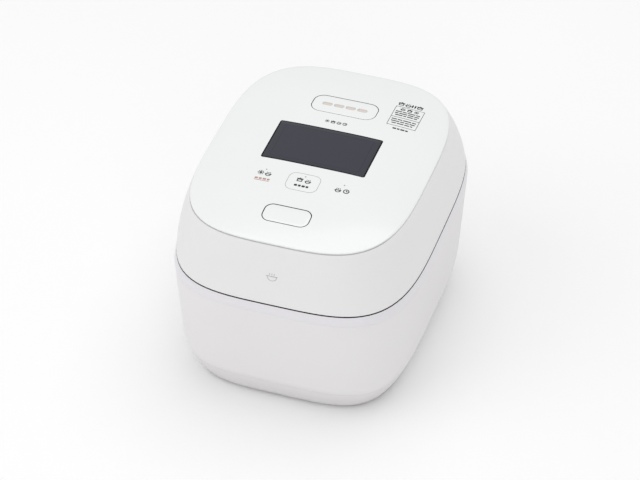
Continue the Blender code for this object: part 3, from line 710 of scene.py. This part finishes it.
class MakeCase(CookerOperator):
    """Makes the lower shell, the base cover with its vents, the feet and the cord outlet"""

    bl_idname = "cooker.make_case"
    bl_label = "Case"

    def build(self, s, c):
        # Satin ABS: a wide, soft sheen with no sharp reflection
        shell = moulded("ABS case, satin moulded", c.case, 0.42)
        depths = [12.1 + 111.75 * (i / 18) for i in range(19)]
        case = loft("case_side", [case_ring(s, depth) for depth in depths])
        thicken(case, s.wall)
        round_edges(case, 0.12, 2)
        x, z = OUTLET
        combine(case, [block("hole", (x - 13.8, 140, z - 7.8), (x + 13.8, 172, z + 7.8))])
        finish_piece(case, shell, "cooker", "white_shell", "case_shell")

        depths = [123.97 + (152.3 - 123.97) * math.sin(math.pi / 2 * i / 14) for i in range(15)]
        base = loft("base_cover_skin", [case_ring(s, depth) for depth in depths], caps=(False, True))
        thicken(base, s.wall)
        round_edges(base, 0.15, 2)
        vents = []
        for row in range(6):
            vents.append(prism("vent", rounded_box(50, 5, 2.4, (44, 50 + 10 * row), 4, 1), -5, 12))
        for row in range(5):
            vents.append(prism("vent", rounded_box(5, 34, 2.4, (-20 + 10 * row, -110), 4, 1), -5, 12))
        for screw in range(1, 5):
            low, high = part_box(f"base_screw_{screw}")
            middle = (low + high) / 2 / MM
            vents.append(bar("screw_hole", 1.9, (middle.x, middle.y, -2), (middle.x, middle.y, 10), 24))
        combine(base, vents)
        # Plain polypropylene: duller and a little greyer than the case
        cover = moulded("polypropylene base cover, moulded", c.base, 0.5)
        finish_piece(base, cover, "cooker", "white_shell", "base_cover")

        # Rubber: near black, with hardly a highlight
        rubber = moulded("EPDM rubber foot, moulded", srgb("#2B2B2C"), 0.75, 0.8, 0.02)
        for node in ("foot_front_left", "foot_front_right", "foot_rear_left", "foot_rear_right"):
            low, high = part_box(node)
            middle = (low + high) / 2
            profile = eased([(0, 0), (7.4, 0), (9, 0.8), (9, 2.7), (0, 2.7)], 0.5)
            foot = turned(f"{node}_pad", profile, middle.xy, 48)
            finish_piece(foot, rubber, "cooker", "rubber", node)

        low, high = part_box("cord_outlet")
        outer, hollow = rounded_box(27, 15, 3), rounded_box(20, 8, 2)
        start, end = low.y, high.y
        lip = rounded_box(25, 13, 2.2)
        rings = [(outer, start), (outer, end - 1.2 * MM), (lip, end), (hollow, end), (hollow, start)]
        rings = [[Vector((x * MM + u * MM, y, z * MM + v * MM)) for u, v in ring] for ring, y in rings]
        bezel = loft("cord_outlet_bezel", rings + rings[:1])
        round_edges(bezel, 0.35)
        # Grey ABS: a plain dull ring round the dark outlet
        grey = moulded("ABS bezel, grey moulded", srgb("#9A9A9B"), 0.5)
        finish_piece(bezel, grey, "cooker", "grey_plastic", "cord_outlet")


def hinge_bar(radius, low, high, around=48):
    """A round bar on the hinge's axis, from one X to another."""
    return bar("hinge_bar", radius, (low, HINGE_Y, HINGE_Z), (high, HINGE_Y, HINGE_Z), around)


class MakeRim(CookerOperator):
    """Makes the upper frame: the band under the seam, the deck, the seat of the pot and the hinge cover"""

    bl_idname = "cooker.make_rim"
    bl_label = "Rim and hinge"

    def build(self, s, c):
        # PBT: a little glossier and cooler than the case, so that the band under the seam stands out
        finish = moulded("PBT rim, fine moulded", c.rim, 0.36)
        gap = s.seam_gap / 2 / MM
        band = [gap + (12.0 - gap) * i / 8 for i in range(9)]
        rings = [case_ring(s, depth) for depth in band]
        tongue = ((12.0, 2.7), (22, 2.7), (22, 4.7), (5.5, 5.7))
        rings += [case_ring(s, depth, inset) for depth, inset in tongue]
        seat = ((112.2, LEDGE - 3.5), (POT_OPENING, LEDGE - 3.5), (POT_OPENING, LEDGE), (112.5, LEDGE))
        rings += [pot_ring(radius, height * MM) for radius, height in seat]
        rings += [pot_ring(114.5, lambda y: seam_z(s, y) - 1.4 * MM), case_ring(s, gap, 5)]
        rim = loft("upper_rim", rings + rings[:1])
        round_edges(rim, 0.15, 2)
        floor = HINGE_Z - 7.3
        pocket = block("pocket", (-NOTCH_HALF, 148, floor), (NOTCH_HALF, 178, 180))
        combine(rim, [pocket, block("slot", (-13, -163.5, 130), (13, -147.5, 160))])
        for side in (-1, 1):
            low, high = sorted(side * end for end in FRAME_KNUCKLE)
            web = block("web", (low + 0.05, 157, floor - 2.5), (high - 0.05, 165, HINGE_Z))
            combine(rim, [hinge_bar(KNUCKLE_RADIUS, low, high), web], "UNION")
        combine(rim, [hinge_bar(PIN_BORE, -80, 80, 32)])
        finish_piece(rim, finish, "cooker", "white_frame", "upper_frame")

        strip = ((gap + 0.1, 0.12), (gap - 0.35, 0.2), (gap - 0.35, 4.5), (gap + 0.1, 4.6))
        rings = [case_ring(s, depth, inset) for depth, inset in strip]
        strip = loft("seam_shade_strip", rings + rings[:1])
        combine(strip, [block("pocket", (-NOTCH_HALF, 148, floor), (NOTCH_HALF, 178, 180))])
        # Painted shade: a near-black elastomer strip on the land inside the seam stands in for the seam's shadow
        # and makes the seam one even dark line
        dark = moulded("painted seam shade, black TPE strip", srgb("#0F0E0F"), 0.75)
        finish_piece(strip, dark, "cooker", "grey_plastic")

        centre = (HINGE_Y, HINGE_Z)
        outline = arc(centre, KNUCKLE_RADIUS, 60, -150, 24)
        outline += arc(centre, KNUCKLE_RADIUS - 1.3, -150, 60, 24)
        ends = [[Vector((x * MM, y * MM, z * MM)) for y, z in outline] for x in (-23, 23)]
        cover = loft("hinge_sleeve", ends, caps=(True, True))
        round_edges(cover, 0.3)
        finish_piece(cover, finish, "cooker", "white_frame", "hinge_cover")


class MakePot(CookerOperator):
    """Makes the coated inner pot"""

    bl_idname = "cooker.make_pot"
    bl_label = "Inner pot"

    def build(self, s, c):
        bottom, rim, radius, corner, wall = 46.0, 148.0, 101.0, 32.0, 2.5
        outer = arc((radius - corner, bottom + corner), corner, -90, 0, 18)
        inner = arc((radius - corner, bottom + corner), corner - wall, 0, -90, 18)
        profile = [(0, bottom), *outer, (radius, rim - wall - 1), (radius + 1, rim - wall)]
        profile += arc((107 - wall / 2, rim - wall / 2), wall / 2, -90, 90, 8)
        profile += arc((radius - wall + 2, rim - 2), 2, 90, 180, 5)
        profile += inner + [(0, bottom + wall)]
        pot = turned("pot", profile, (0, POT_Y), 128)
        # Dull and dark: it reflects little but the glitter of its mica
        coat = sprayed_coat("fluoropolymer coat, sprayed", srgb("#38342F"))
        finish_piece(pot, coat, "cooker", "pot", "inner_pot")


class MakeLidSide(CookerOperator):
    """Makes the side of the lid and the small mark on its front"""

    bl_idname = "cooker.make_lid_side"
    bl_label = "Lid side"

    def build(self, s, c):
        under = 2.8 * MM
        rings = [lid_ring(s, 0.96 * i / 20) for i in range(20)]
        rings.append([Vector((p.x, p.y, s.panel_edge - under)) for p in lid_ring(s, 0.965)])
        rings += [panel_ring(s, 0.985, under), panel_ring(s, 0.92, under)]
        lid = loft("lid_side", rings)
        thicken(lid, s.wall)
        round_edges(lid, 0.7)
        combine(lid, [block("notch", (-NOTCH_HALF, 150, 140), (NOTCH_HALF, 178, HINGE_Z + 7.3))])
        # The case's satin ABS, a shade lighter
        finish = moulded("ABS lid side, satin moulded", c.lid_side, 0.42)
        finish_piece(lid, finish, "lid", "white_shell", "lid_shell")

        bowl = arc((0, 1.2), 5.4, 180, 360, 24)
        hollow = arc((0, 1.2), 4.9, 180, 360, 24)
        mark = outline_band("front_mark", bowl, hollow)
        parts = [mark] + [prism("rim_line", rounded_box(13, 0.5, 0.2, (0, 1.7), 3, 6), 0, PRINT)]
        for x in (-2.6, 0, 2.6):
            parts.append(prism("steam_line", rounded_box(0.5, 2.6, 0.2, (x, 4.3), 3, 3), 0, PRINT))
        mark = join_pieces("front_mark", parts)
        bend(mark, on_lid_front(s, 0.475))
        tidy_mesh(mark)
        # Pad-printed ink: a fine, dull grey line
        finish_piece(mark, printed("grey ink, pad printed", c.soft_ink), "lid", "grey_plastic")


def outline_band(name, outer, inner):
    """A flat line between two outlines of as many points, a print's thickness high."""
    rings = [level(outer, 0), level(outer, PRINT * MM), level(inner, PRINT * MM), level(inner, 0)]
    return loft(name, rings + rings[:1])


def join_pieces(name, parts):
    select_only(None)
    for part in parts:
        part.select_set(True)
    bpy.context.view_layer.objects.active = parts[0]
    bpy.ops.object.join()
    parts[0].name = name
    return parts[0]


class MakePanel(CookerOperator):
    """Makes the crowned, high-gloss top panel with its three openings"""

    bl_idname = "cooker.make_panel"
    bl_label = "Top panel"

    def build(self, s, c):
        shares = [0.1 + 0.9 * i / 26 for i in range(27)]
        panel = loft("gloss_panel", [panel_ring(s, share) for share in shares], caps=(True, False))
        thicken(panel, 2.2 * MM)
        round_edges(panel, 0.6)
        cutters = []
        for size, corner, y, _ in OPENINGS.values():
            outline = rounded_box(*size, corner, (0, y + PANEL_MID), 12, 12)
            cutters.append(prism("opening", outline, 210, 250))
        combine(panel, cutters)
        finish_piece(panel, gloss_white(c), "lid", "white_panel", "top_panel")

        # Painted shade: a near-black foam sheet with hardly any reflection, just under the gaps round the key,
        # the steam cap and the window, stands in for their shadow
        gap_shade_finish = moulded("painted gap shade, black EPDM foam", srgb("#100C0B"), 0.95, 0.9, 0.03, Specular_IOR_Level=0.1)
        shade_sheets = []
        for (width, depth), corner, y, gap in OPENINGS.values():
            inset = getattr(s, gap) / MM * 0.93
            outer = rounded_box(width - 0.04, depth - 0.04, corner - 0.02, (0, y), 12, 12)
            inner = rounded_box(width - 2 * inset, depth - 2 * inset, corner - inset, (0, y), 12, 12)
            low, top = -0.9 * MM, -0.15 * MM
            rings = [level(outer, low), level(outer, top), level(inner, top), level(inner, low)]
            shade_sheets.append(loft("seal", rings + rings[:1]))
        shade_sheets = join_pieces("gap_shade_sheets", shade_sheets)
        bend(shade_sheets, on_panel(s))
        tidy_mesh(shade_sheets)
        finish_piece(shade_sheets, gap_shade_finish, "lid", "grey_plastic")

        # Flush in front, and set back at the sides and the rear, where it leaves a dark groove
        rings = []
        for share, drop in ((1.0015, 2.7), (1.0015, 2.15), (0.96, 2.15), (0.96, 2.7)):
            ring, deep = panel_ring(s, share, drop * MM), panel_ring(s, min(share, 0.984), drop * MM)
            rings.append([p.lerp(q, min(1.0, max(0.0, (p.y + 0.12) / 0.04))) for p, q in zip(ring, deep)])
        shade_line_ring = loft("panel_gasket_shade_line", rings + rings[:1])
        # Pale elastomer fills the joint; its grey is partly painted shade, a fine shadow line round the panel
        grey = moulded("TPE gasket, painted shade line", srgb("#C2C0C0"), 0.6)
        finish_piece(shade_line_ring, grey, "lid", "grey_plastic")


def gloss_white(c):
    """High-gloss ABS: polished in the mould, with a faint orange peel that softens reflections."""
    name = "ABS panel, high-gloss moulded"
    polish = {"Coat_Weight": 0.25, "Coat_Roughness": 0.08}
    return bpy.data.materials.get(name) or moulded(name, c.panel, 0.2, 2.2, 0.003, **polish)


def panel_pad(s, name, opening, thickness, top_edge):
    """A flat plate that fills a panel opening but for its gap, with eased edges, ready to bend."""
    size, corner, y, gap = OPENINGS[opening]
    gap = getattr(s, gap) / MM
    outline = rounded_box(size[0] - 2 * gap, size[1] - 2 * gap, corner - gap, (0, y), 12, 12)
    plate = prism(name, outline, -thickness, 0)
    round_edges(plate, top_edge)
    slice_up(plate, 3.5)
    return plate


class MakeWindow(CookerOperator):
    """Makes the smoked window over the display"""

    bl_idname = "cooker.make_window"
    bl_label = "Display window"

    def build(self, s, c):
        window = panel_pad(s, "smoked_lens", "window", 2.4, 0.25)
        bend(window, on_panel(s))
        tidy_mesh(window)
        # Polished acrylic: a dark mirror over the display
        finish = smoked_acrylic("acrylic window, smoked and polished", c.window)
        finish_piece(window, finish, "lid", "smoked_lens", "display_window")


class MakeOpenKey(CookerOperator):
    """Makes the key that opens the lid, with its stem"""

    bl_idname = "cooker.make_open_key"
    bl_label = "Open key"

    def build(self, s, c):
        key = panel_pad(s, "open_key_cap", "key", 6.0, 0.4)
        bend(key, on_panel(s))
        tidy_mesh(key)
        low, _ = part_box("open_button")
        y = KEY_Y + PANEL_MID
        combine(key, [block("stem", (-4, y - 2, low.z / MM), (4, y + 2, 226))], "UNION")
        finish_piece(key, gloss_white(c), "open_key", "white_panel", "open_button")


class MakeSteamCap(CookerOperator):
    """Makes the lift-out steam cap with its four slots"""

    bl_idname = "cooker.make_steam_cap"
    bl_label = "Steam cap"

    def build(self, s, c):
        low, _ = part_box("steam_cap")
        cap = panel_pad(s, "steam_cover", "steam", 2.4, 0.4)
        bend(cap, on_panel(s))
        tidy_mesh(cap)
        gap = s.cap_gap / MM + 0.2
        width, depth = (side - 2 * gap for side in STEAM_SIZE)
        y = STEAM_Y + PANEL_MID
        outer = rounded_box(width, depth, STEAM_CORNER - gap, (0, y), 12, 12)
        inner = rounded_box(width - 3.2, depth - 3.2, STEAM_CORNER - gap - 1.6, (0, y), 12, 12)
        top = 232 * MM
        rings = [level(outer, low.z), level(outer, top), level(inner, top), level(inner, low.z)]
        combine(cap, [loft("skirt", rings + rings[:1])], "UNION")
        pocket, baffle = (
            prism(name, rounded_box(60 + wide, 12 + wide, 5.9, (0, STEAM_Y), 10, 8), low, high)
            for name, wide, low, high in (("pocket", 0.6, -8, -0.9), ("steam_baffle", 0, -2.3, -0.95))
        )
        for piece in (pocket, baffle):
            slice_up(piece, 3.3)
            bend(piece, on_panel(s))
            tidy_mesh(piece)
        slots = []
        for slot in range(4):
            outline = rounded_box(11.4, 6.0, 2.6, (SLOT_PITCH * (slot - 1.5), y), 8, 4)
            slots.append(prism("slot", outline, 220, 245))
        combine(cap, [pocket, *slots])
        finish_piece(cap, gloss_white(c), "steam_vent", "white_panel", "steam_cap")
        # Unpigmented polypropylene: warm beside the whites, and dull
        warm = moulded("polypropylene baffle, natural", srgb("#D8CFC8"), 0.55)
        finish_piece(baffle, warm, "steam_vent", "white_panel")


class MakePrints(CookerOperator):
    """Prints the plain marks on the panel: a key outline, small symbols and an information block of bars"""

    bl_idname = "cooker.make_prints"
    bl_label = "Panel prints"

    def build(self, s, c):
        # Inks: even and dull beside the gloss of the panel
        groups = {
            "dark_print": (self.dark_marks(), printed("dark ink, screen printed", c.ink)),
            "grey_print": (self.grey_marks(), printed("grey ink, screen printed", c.soft_ink)),
            "warm_print": (self.warm_marks(), printed("warm ink, screen printed", c.warm_ink)),
        }
        for name, (parts, ink) in groups.items():
            marks = join_pieces(name, parts)
            slice_up(marks, 2.5)
            bend(marks, on_panel(s))
            tidy_mesh(marks)
            finish_piece(marks, ink, "lid", "grey_plastic")

    def bars(self, x, y, height, gap, *widths):
        """A row of bars, centred on a point."""
        parts, left = [], x - (sum(widths) + gap * (len(widths) - 1)) / 2
        for width in widths:
            outline = rounded_box(width, height, 0.25 * height, (left + width / 2, y), 2, 1)
            parts.append(prism("bar", outline, 0, PRINT))
            left += width + gap
        return parts

    def bowl(self, x, y, size):
        """A bowl under three wisps of steam."""
        inside = arc((x, y - 0.08 * size), 0.29 * size, 180, 360, 20)
        parts = [outline_band("bowl", arc((x, y), 0.5 * size, 180, 360, 20), inside)]
        parts += self.bars(x, y + 0.02 * size, 0.14 * size, 0, 1.1 * size)
        return parts + self.bars(x, y + 0.34 * size, 0.3 * size, 0.14 * size, *[0.13 * size] * 3)

    def clock(self, x, y, size):
        """A dial with two hands."""
        ring = [arc((x, y), radius * size, 0, 345, 23) for radius in (0.5, 0.34)]
        hands = self.bars(x, y + 0.12 * size, 0.3 * size, 0, 0.14 * size)
        hands += self.bars(x + 0.1 * size, y, 0.14 * size, 0, 0.3 * size)
        return [outline_band("dial", *ring)] + hands

    def pot(self, x, y, size):
        """A lidded pot with two handles."""
        centre = (x, y - 0.14 * size)
        sides = ((0.92, 0.62), (0.6, 0.3))
        walls = [rounded_box(w * size, h * size, 0.1 * size, centre, 3, 1) for w, h in sides]
        parts = [outline_band("pot", *walls)] + self.bars(x, y + 0.25 * size, 0.15 * size, 0, 1.1 * size)
        return parts + self.bars(x, y + 0.42 * size, 0.12 * size, 0, 0.3 * size)

    def sun(self, x, y, size):
        """A warm disc with rays."""
        parts = [prism("disc", arc((x, y), 0.22 * size, 0, 340, 17), 0, PRINT)]
        for turn in range(8):
            angle = math.tau * turn / 8
            ray = rounded_box(0.2 * size, 0.14 * size, 0.03 * size, (0.4 * size, 0), 2, 1)
            cos, sin = math.cos(angle), math.sin(angle)
            parts.append(prism("ray", [(x + u * cos - v * sin, y + u * sin + v * cos) for u, v in ray], 0, PRINT))
        return parts

    def dark_marks(self):
        parts = self.sun(-48.2, -56.6, 7.2) + self.bowl(-39.8, -57.4, 6.6)
        parts += self.pot(-4.9, -56.2, 6.6) + self.bowl(4.3, -57.2, 6.4)
        parts += self.bars(-0.4, -65.7, 3.0, 1.0, 3.4, 3.0, 3.6, 2.8)
        parts += self.bowl(38.4, -59.8, 6.8) + self.clock(47.4, -59.4, 6.8)
        for number, symbol in enumerate((self.sun, self.pot, self.bowl, self.clock)):
            parts += symbol(-9.9 + 6.6 * number, 49.5, 5.0)
        parts += self.pot(55.6, 108.6, 6.6) + self.bowl(63.4, 108.0, 6.6)
        parts += self.bars(69.6, 108.4, 5.6, 1.2, 1.7, 1.7) + self.pot(76.4, 108.6, 6.6)
        frames = [rounded_box(32.4 - w, 36.4 - w, 0.5, (67.5, 84.9), 3, 10) for w in (0, 1.0)]
        parts.append(outline_band("frame", *frames))
        for number, symbol in enumerate((self.bowl, self.pot, self.sun)):
            parts += symbol(60.2 + 7.6 * number, 98.6, 5.4)
        rows = ((93.6, 7.0, 4.4, 8.6, 4.6), (90.2, 4.0, 9.0, 6.2, 5.4), (86.8, 8.4, 3.2, 6.6, 4.0))
        rows += ((78.6, 6.0, 5.2, 9.2, 4.4), (75.0, 9.6, 4.6, 4.2, 5.8), (71.4, 5.2, 7.6, 5.4, 2.6))
        for y, *widths in rows:
            parts += self.bars(67.2, y, 1.5, 0.9, *widths)
        parts += self.bars(67.5, 82.7, 0.6, 0, 31.6)
        return parts + self.bars(68.2, 62.0, 2.2, 0.8, 4.2, 3.0, 4.6, 3.0)

    def grey_marks(self):
        key = [rounded_box(35.2 - w, 28.2 - w, 8.4 - w / 2, (-0.3, -59.7), 10, 10) for w in (0, 0.9)]
        parts = [outline_band("key_outline", *key)]
        for x, y in ((-44.0, -50.6), (-0.6, -50.2), (42.6, -50.4)):
            parts.append(prism("dot", arc((x, y), 0.75, 0, 330, 11), 0, 0.3))
        return parts

    def warm_marks(self):
        return self.bars(-43.6, -66.2, 2.6, 1.0, 3.6, 3.2, 3.8, 2.8) + self.bars(-43.6, -69.0, 0.8, 0, 16.4)


class MakeLidUnderside(CookerOperator):
    """Makes the liner, the inner lid with its valve covers, and the seal"""

    bl_idname = "cooker.make_lid_underside"
    bl_label = "Lid underside"

    def build(self, s, c):
        rings = [pot_ring(106.5, 156.5 * MM), pot_ring(110.5, lambda y: seam_z(s, y) + 2.4 * MM)]
        rings.append(lid_ring(s, 0, s.wall + 0.9 * MM, 1.4 * MM))
        liner = loft("lid_inside", rings, caps=(True, False))
        thicken(liner, 2.2 * MM, 1)
        round_edges(liner, 0.8)
        holes = [block("notch", (-NOTCH_HALF, 157.5, 140), (NOTCH_HALF, 178, 190))]
        holes.append(block("hook_slot", (-7.5, -161, 140), (7.5, -147, 160)))
        for spot, radius in ((BALL_VALVE, 14), (RELIEF_VALVE, 12), (DUCT, 6.2)):
            holes.append(bar("hole", radius, (*spot, 145), (*spot, 175)))
        combine(liner, holes)
        for side in (-1, 1):
            low, high = sorted(side * end for end in LID_KNUCKLE)
            arm = block("arm", (low + 0.05, 151, 158.5), (high - 0.05, 161.2, 168.6))
            combine(liner, [hinge_bar(KNUCKLE_RADIUS, low, high), arm], "UNION")
        combine(liner, [hinge_bar(PIN_BORE, -80, 80, 32)])
        # Heat-resistant polypropylene: the rim's white, and a little duller
        white = moulded("polypropylene liner, moulded", c.rim, 0.4)
        finish_piece(liner, white, "lid", "white_frame", "lid_liner")

        bottom, top, step = 151.6, 152.8, 153.4
        # Close rings keep the shading of the flat disc even round its ports
        disc = (15, 30, 45, 58, 70, 78, 83, 86)
        profile = [(0, bottom), *((radius, bottom) for radius in disc), (90, bottom), (94, step), (99, step)]
        profile += [(99, step + 1.2), (93.6, step + 1.2), (89.6, top)]
        profile += [*((radius, top) for radius in reversed(disc)), (0, top)]
        plate = turned("pressed_inner_lid", eased(profile, 0.5), (0, POT_Y), 128)
        ports = []
        for spot, radius in ((BALL_VALVE, 3.8), (RELIEF_VALVE, 3.8), (DUCT, 3.6)):
            ports.append(bar("port", radius, (*spot, 145), (*spot, 160), 32))
        combine(plate, ports)
        # Pressed steel: rings round its middle, with the room's light drawn out across them
        steel = spun("stainless steel, pressed", srgb("#C9C8C4"), 0.24, (0, POT_Y), 2.4)
        finish_piece(plate, steel, "lid", "steel", "inner_lid")

        seal = [(95.5, 150.0), (98, 148.35), (104.3, 148.35), (105, 155.9)]
        seal += [(100, 155.9), (99.6, 153.0), (95.5, 153.0)]
        seal = turned("lid_gasket", eased(seal, 0.7), (0, POT_Y), 128)
        # Silicone: milky, as light goes a little way in
        milky = {"Subsurface_Weight": 0.1}
        silicone = moulded("silicone rubber, moulded", srgb("#C4C5C4"), 0.5, 1.2, 0.01, **milky)
        finish_piece(seal, silicone, "lid", "silicone", "lid_seal")

        # Glass-filled sulphide plastic: dark grey and dull
        dark = moulded("polyphenylene sulphide, moulded", srgb("#3B3B3D"), 0.45)
        covers = (
            ("ball_valve_cover", BALL_VALVE, 14.5, 145.2),
            ("relief_valve_cover", RELIEF_VALVE, 11.5, 146.6),
        )
        for name, (x, y), radius, low in covers:
            profile = [(0, low), (radius - 2.5, low), (radius, low + 1.6), (radius, 151.4), (0, 151.4)]
            cover = turned(name, eased(profile, 0.8), (x * MM, y * MM), 64)
            holes = []
            for turn in range(6):
                angle = math.tau * turn / 6
                spot = (x + 0.62 * radius * math.cos(angle), y + 0.62 * radius * math.sin(angle))
                holes.append(bar("hole", 1.3, (*spot, low - 1), (*spot, low + 2), 20))
            combine(cover, holes)
            finish_piece(cover, dark, "lid", "black_plastic")


class FinishInnerParts(CookerOperator):
    """Gives the CAD parts that stay their finishes"""

    bl_idname = "cooker.finish_inner_parts"
    bl_label = "Inner parts"

    def build(self, s, c):
        # Metals: long bright lines on the steel, paler and softer ones on the aluminium
        steel = drawn("stainless steel, drawn", srgb("#BEBDB9"), 0.28)
        aluminium = drawn("aluminium, extruded", srgb("#C8C9CA"), 0.35)
        # Plastics: plain and dull, so that the metals stand out between them
        black = moulded("PBT, black moulded", srgb("#262627"), 0.5)
        grey = moulded("ABS, grey moulded", srgb("#8E8E90"), 0.5)
        white = moulded("ABS, white moulded", c.rim, 0.4)
        # Electronics: green mask with shining pads, and warm copper with painted shade in the grooves between its
        # turns
        board = masked_board("glass fibre board, solder mask", srgb("#1C5A34"))
        pot_coil = wound("litz wire, flat wound", srgb("#B5683F"), (0, POT_Y), 1.6)
        choke = wound("enamelled wire, wound", srgb("#B5683F"), (-62 * MM, 130 * MM), 1.2)
        # Milky rubber, coal-grey ferrite, glossy glass and a bright cap with turned rings
        silicone = moulded("silicone rubber, extruded", srgb("#C4C5C4"), 0.5, 1.2, 0.01)
        ferrite = moulded("ferrite, sintered", srgb("#3A3A3C"), 0.7, 0.9, 0.02)
        lcd = moulded("LCD glass, bonded", srgb("#2A2B30"), 0.2)
        sensor = spun("aluminium sensor cap, turned", srgb("#C8C9CA"), 0.3, (0, POT_Y), 0.8)
        finishes = {
            steel: [
                "reel_axle", "latch_hook", "latch_pin", "catch_plate", "hinge_pin", "lid_spring",
                "valve_seat", "pressure_ball", "relief_valve", "solenoid_plunger",
                *[f"base_screw_{number}" for number in range(1, 5)],
            ],
            aluminium: ["side_heater", "heat_sink"],
            black: ["pot_well", "smoothing_capacitor", "fan_housing", "fan_rotor"],
            grey: [
                "sensor_holder", "reel_case", "reel_drum", "button_guide",
                "latch_lug_left", "latch_lug_right", "solenoid",
            ],
            white: ["steam_well", "steam_tray"],
            board: ["control_board", "display_board"],
            pot_coil: ["inner_coil", "outer_coil"],
            choke: ["filter_choke"],
            silicone: ["steam_duct"],
            ferrite: ["ferrite_clamp"],
            lcd: ["lcd_module"],
            sensor: ["temperature_sensor"],
        }
        for finish, nodes in finishes.items():
            for node in nodes:
                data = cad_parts[node].data
                data.materials.clear()
                data.materials.append(finish)


class MakeSprings(CookerOperator):
    """Winds the two upright springs, which a press makes shorter on the real cooker"""

    bl_idname = "cooker.make_springs"
    bl_label = "Springs"

    def build(self, s, c):
        # Spring steel: bright where the light runs round each turn
        wire = drawn("spring steel, drawn and coiled", srgb("#B4B3AF"), 0.25)
        turns, around, travel = 4, 24, 3
        springs = (
            ("button_spring", 0.5, (0, KEY_Y + PANEL_MID), "lid", "open_button_press"),
            ("sensor_spring", 0.6, (0, POT_Y / MM), "cooker", "sensor_press"),
        )
        for node, thick, (x, y), body, joint in springs:
            low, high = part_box(node)
            size = (high - low) / MM
            radius, bottom, rise = size.x / 2 - thick, low.z / MM + thick, size.z - 2 * thick
            rings = []
            for step in range(turns * around + 1):
                turn = math.tau * step / around
                out = Vector((math.cos(turn), math.sin(turn), 0))
                hub = Vector((x, y, bottom + rise * step / (turns * around))) + radius * out
                bends = (math.tau * k / 8 for k in range(8))
                rings.append(
                    [(hub + thick * (math.cos(a) * out + Vector((0, 0, math.sin(a))))) * MM for a in bends]
                )
            spring = loft(f"{node}_wire", rings, caps=(True, True))
            finish_piece(spring, wire, body, "steel", node)
            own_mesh(spring)


class MakeStage(CookerOperator):
    """Makes the pale floor, the soft lights and the camera"""

    bl_idname = "cooker.make_stage"
    bl_label = "Stage"

    def build(self, s, c):
        select_only(None)
        bpy.ops.mesh.primitive_plane_add(size=12)
        floor = bpy.context.object
        floor.name = "floor"
        # Matt paper: no reflection, only a soft shadow and a faint cloud in its white
        paper, tree, shader, place = new_finish("paper sweep, matt", srgb("#FDFDFD"), 0.95)
        cloud = add(tree, "TexNoise", {"Vector": place, "Scale": 1 / 400}, "Fac")
        tones = {"A": shaded(srgb("#FCFCFC"), 1), "B": shaded(srgb("#FEFEFE"), 1)}
        connect(tree, shader, add(tree, "Mix", {"Factor": cloud, **tones}, "Result", data_type="RGBA"))
        floor.data.materials.append(paper)

        scene = bpy.context.scene
        scene.view_settings.view_transform = "Standard"
        world = scene.world or bpy.data.worlds.new("soft_room")
        scene.world = world
        world.use_nodes = True
        background = world.node_tree.nodes["Background"]
        background.inputs["Color"].default_value = (1, 1, 1, 1)
        background.inputs["Strength"].default_value = 0.69

        for name, place, power, size in (
            ("key_light", (-1.6, -1.3, 2.0), 13.0, 2.6),
            ("fill_light", (1.0, -2.2, 0.9), 5.0, 1.4),
            ("top_light", (0.2, 0.5, 2.4), 14.5, 2.2),
        ):
            lamp = bpy.data.lights.new(name, "AREA")
            lamp.energy = power
            lamp.shape = "DISK"
            lamp.size = size
            holder = bpy.data.objects.new(name, lamp)
            scene.collection.objects.link(holder)
            holder.location = place
            aim = Vector((0, 0, 0.1)) - holder.location
            holder.rotation_euler = aim.to_track_quat("-Z", "Y").to_euler()

        # The camera stands to the right of the front and looks down
        azimuth, elevation = math.radians(18.5936), math.radians(37.9118)
        right = Vector((math.cos(azimuth), math.sin(azimuth), 0))
        level_back = Vector((math.sin(azimuth), -math.cos(azimuth), 0))
        back = level_back * math.cos(elevation) + Vector((0, 0, math.sin(elevation)))
        up = back.cross(right)
        middle = Vector((0, PANEL_Y, s.panel_edge))
        camera = bpy.data.objects.new("camera", bpy.data.cameras.new("camera"))
        scene.collection.objects.link(camera)
        camera.data.lens = 178.3
        camera.data.clip_end = 50
        camera.location = middle + 3.379 * back
        target = middle - 1.5 * MM * right - 89.2 * MM * up
        sight = (target - camera.location).normalized()
        side = sight.cross(up).normalized()
        turn = Matrix((side, side.cross(sight), -sight)).transposed()
        camera.rotation_euler = turn.to_euler()
        scene.camera = camera


class CookerPanel(bpy.types.Panel):
    """Lists the cooker's sizes, colours and parts"""

    bl_idname = "VIEW3D_PT_rice_cooker"
    bl_label = "Rice Cooker"
    bl_space_type = "VIEW_3D"
    bl_region_type = "UI"
    bl_category = "Rice Cooker"

    def draw(self, context):
        for group in (context.scene.cooker_sizes, context.scene.cooker_colours):
            box = self.layout.box()
            for key in group.bl_rna.properties.keys():
                if key not in ("rna_type", "name"):
                    box.prop(group, key)
        for operator in STEPS:
            self.layout.operator(operator.bl_idname)


STEPS = (
    MakeStage,
    MakeCase,
    MakeRim,
    MakePot,
    MakeLidSide,
    MakePanel,
    MakeWindow,
    MakeOpenKey,
    MakeSteamCap,
    MakePrints,
    MakeLidUnderside,
    FinishInnerParts,
    MakeSprings,
)
CLASSES = (CookerSizes, CookerColours, *STEPS, CookerPanel)


def register():
    for item in CLASSES:
        bpy.utils.register_class(item)
    bpy.types.Scene.cooker_sizes = bpy.props.PointerProperty(type=CookerSizes)
    bpy.types.Scene.cooker_colours = bpy.props.PointerProperty(type=CookerColours)


def unregister():
    del bpy.types.Scene.cooker_sizes
    del bpy.types.Scene.cooker_colours
    for item in reversed(CLASSES):
        bpy.utils.unregister_class(item)


def main():
    register()
    for step in STEPS:
        group, name = step.bl_idname.split(".")
        getattr(getattr(bpy.ops, group), name)()


if __name__ == "__main__":
    main()
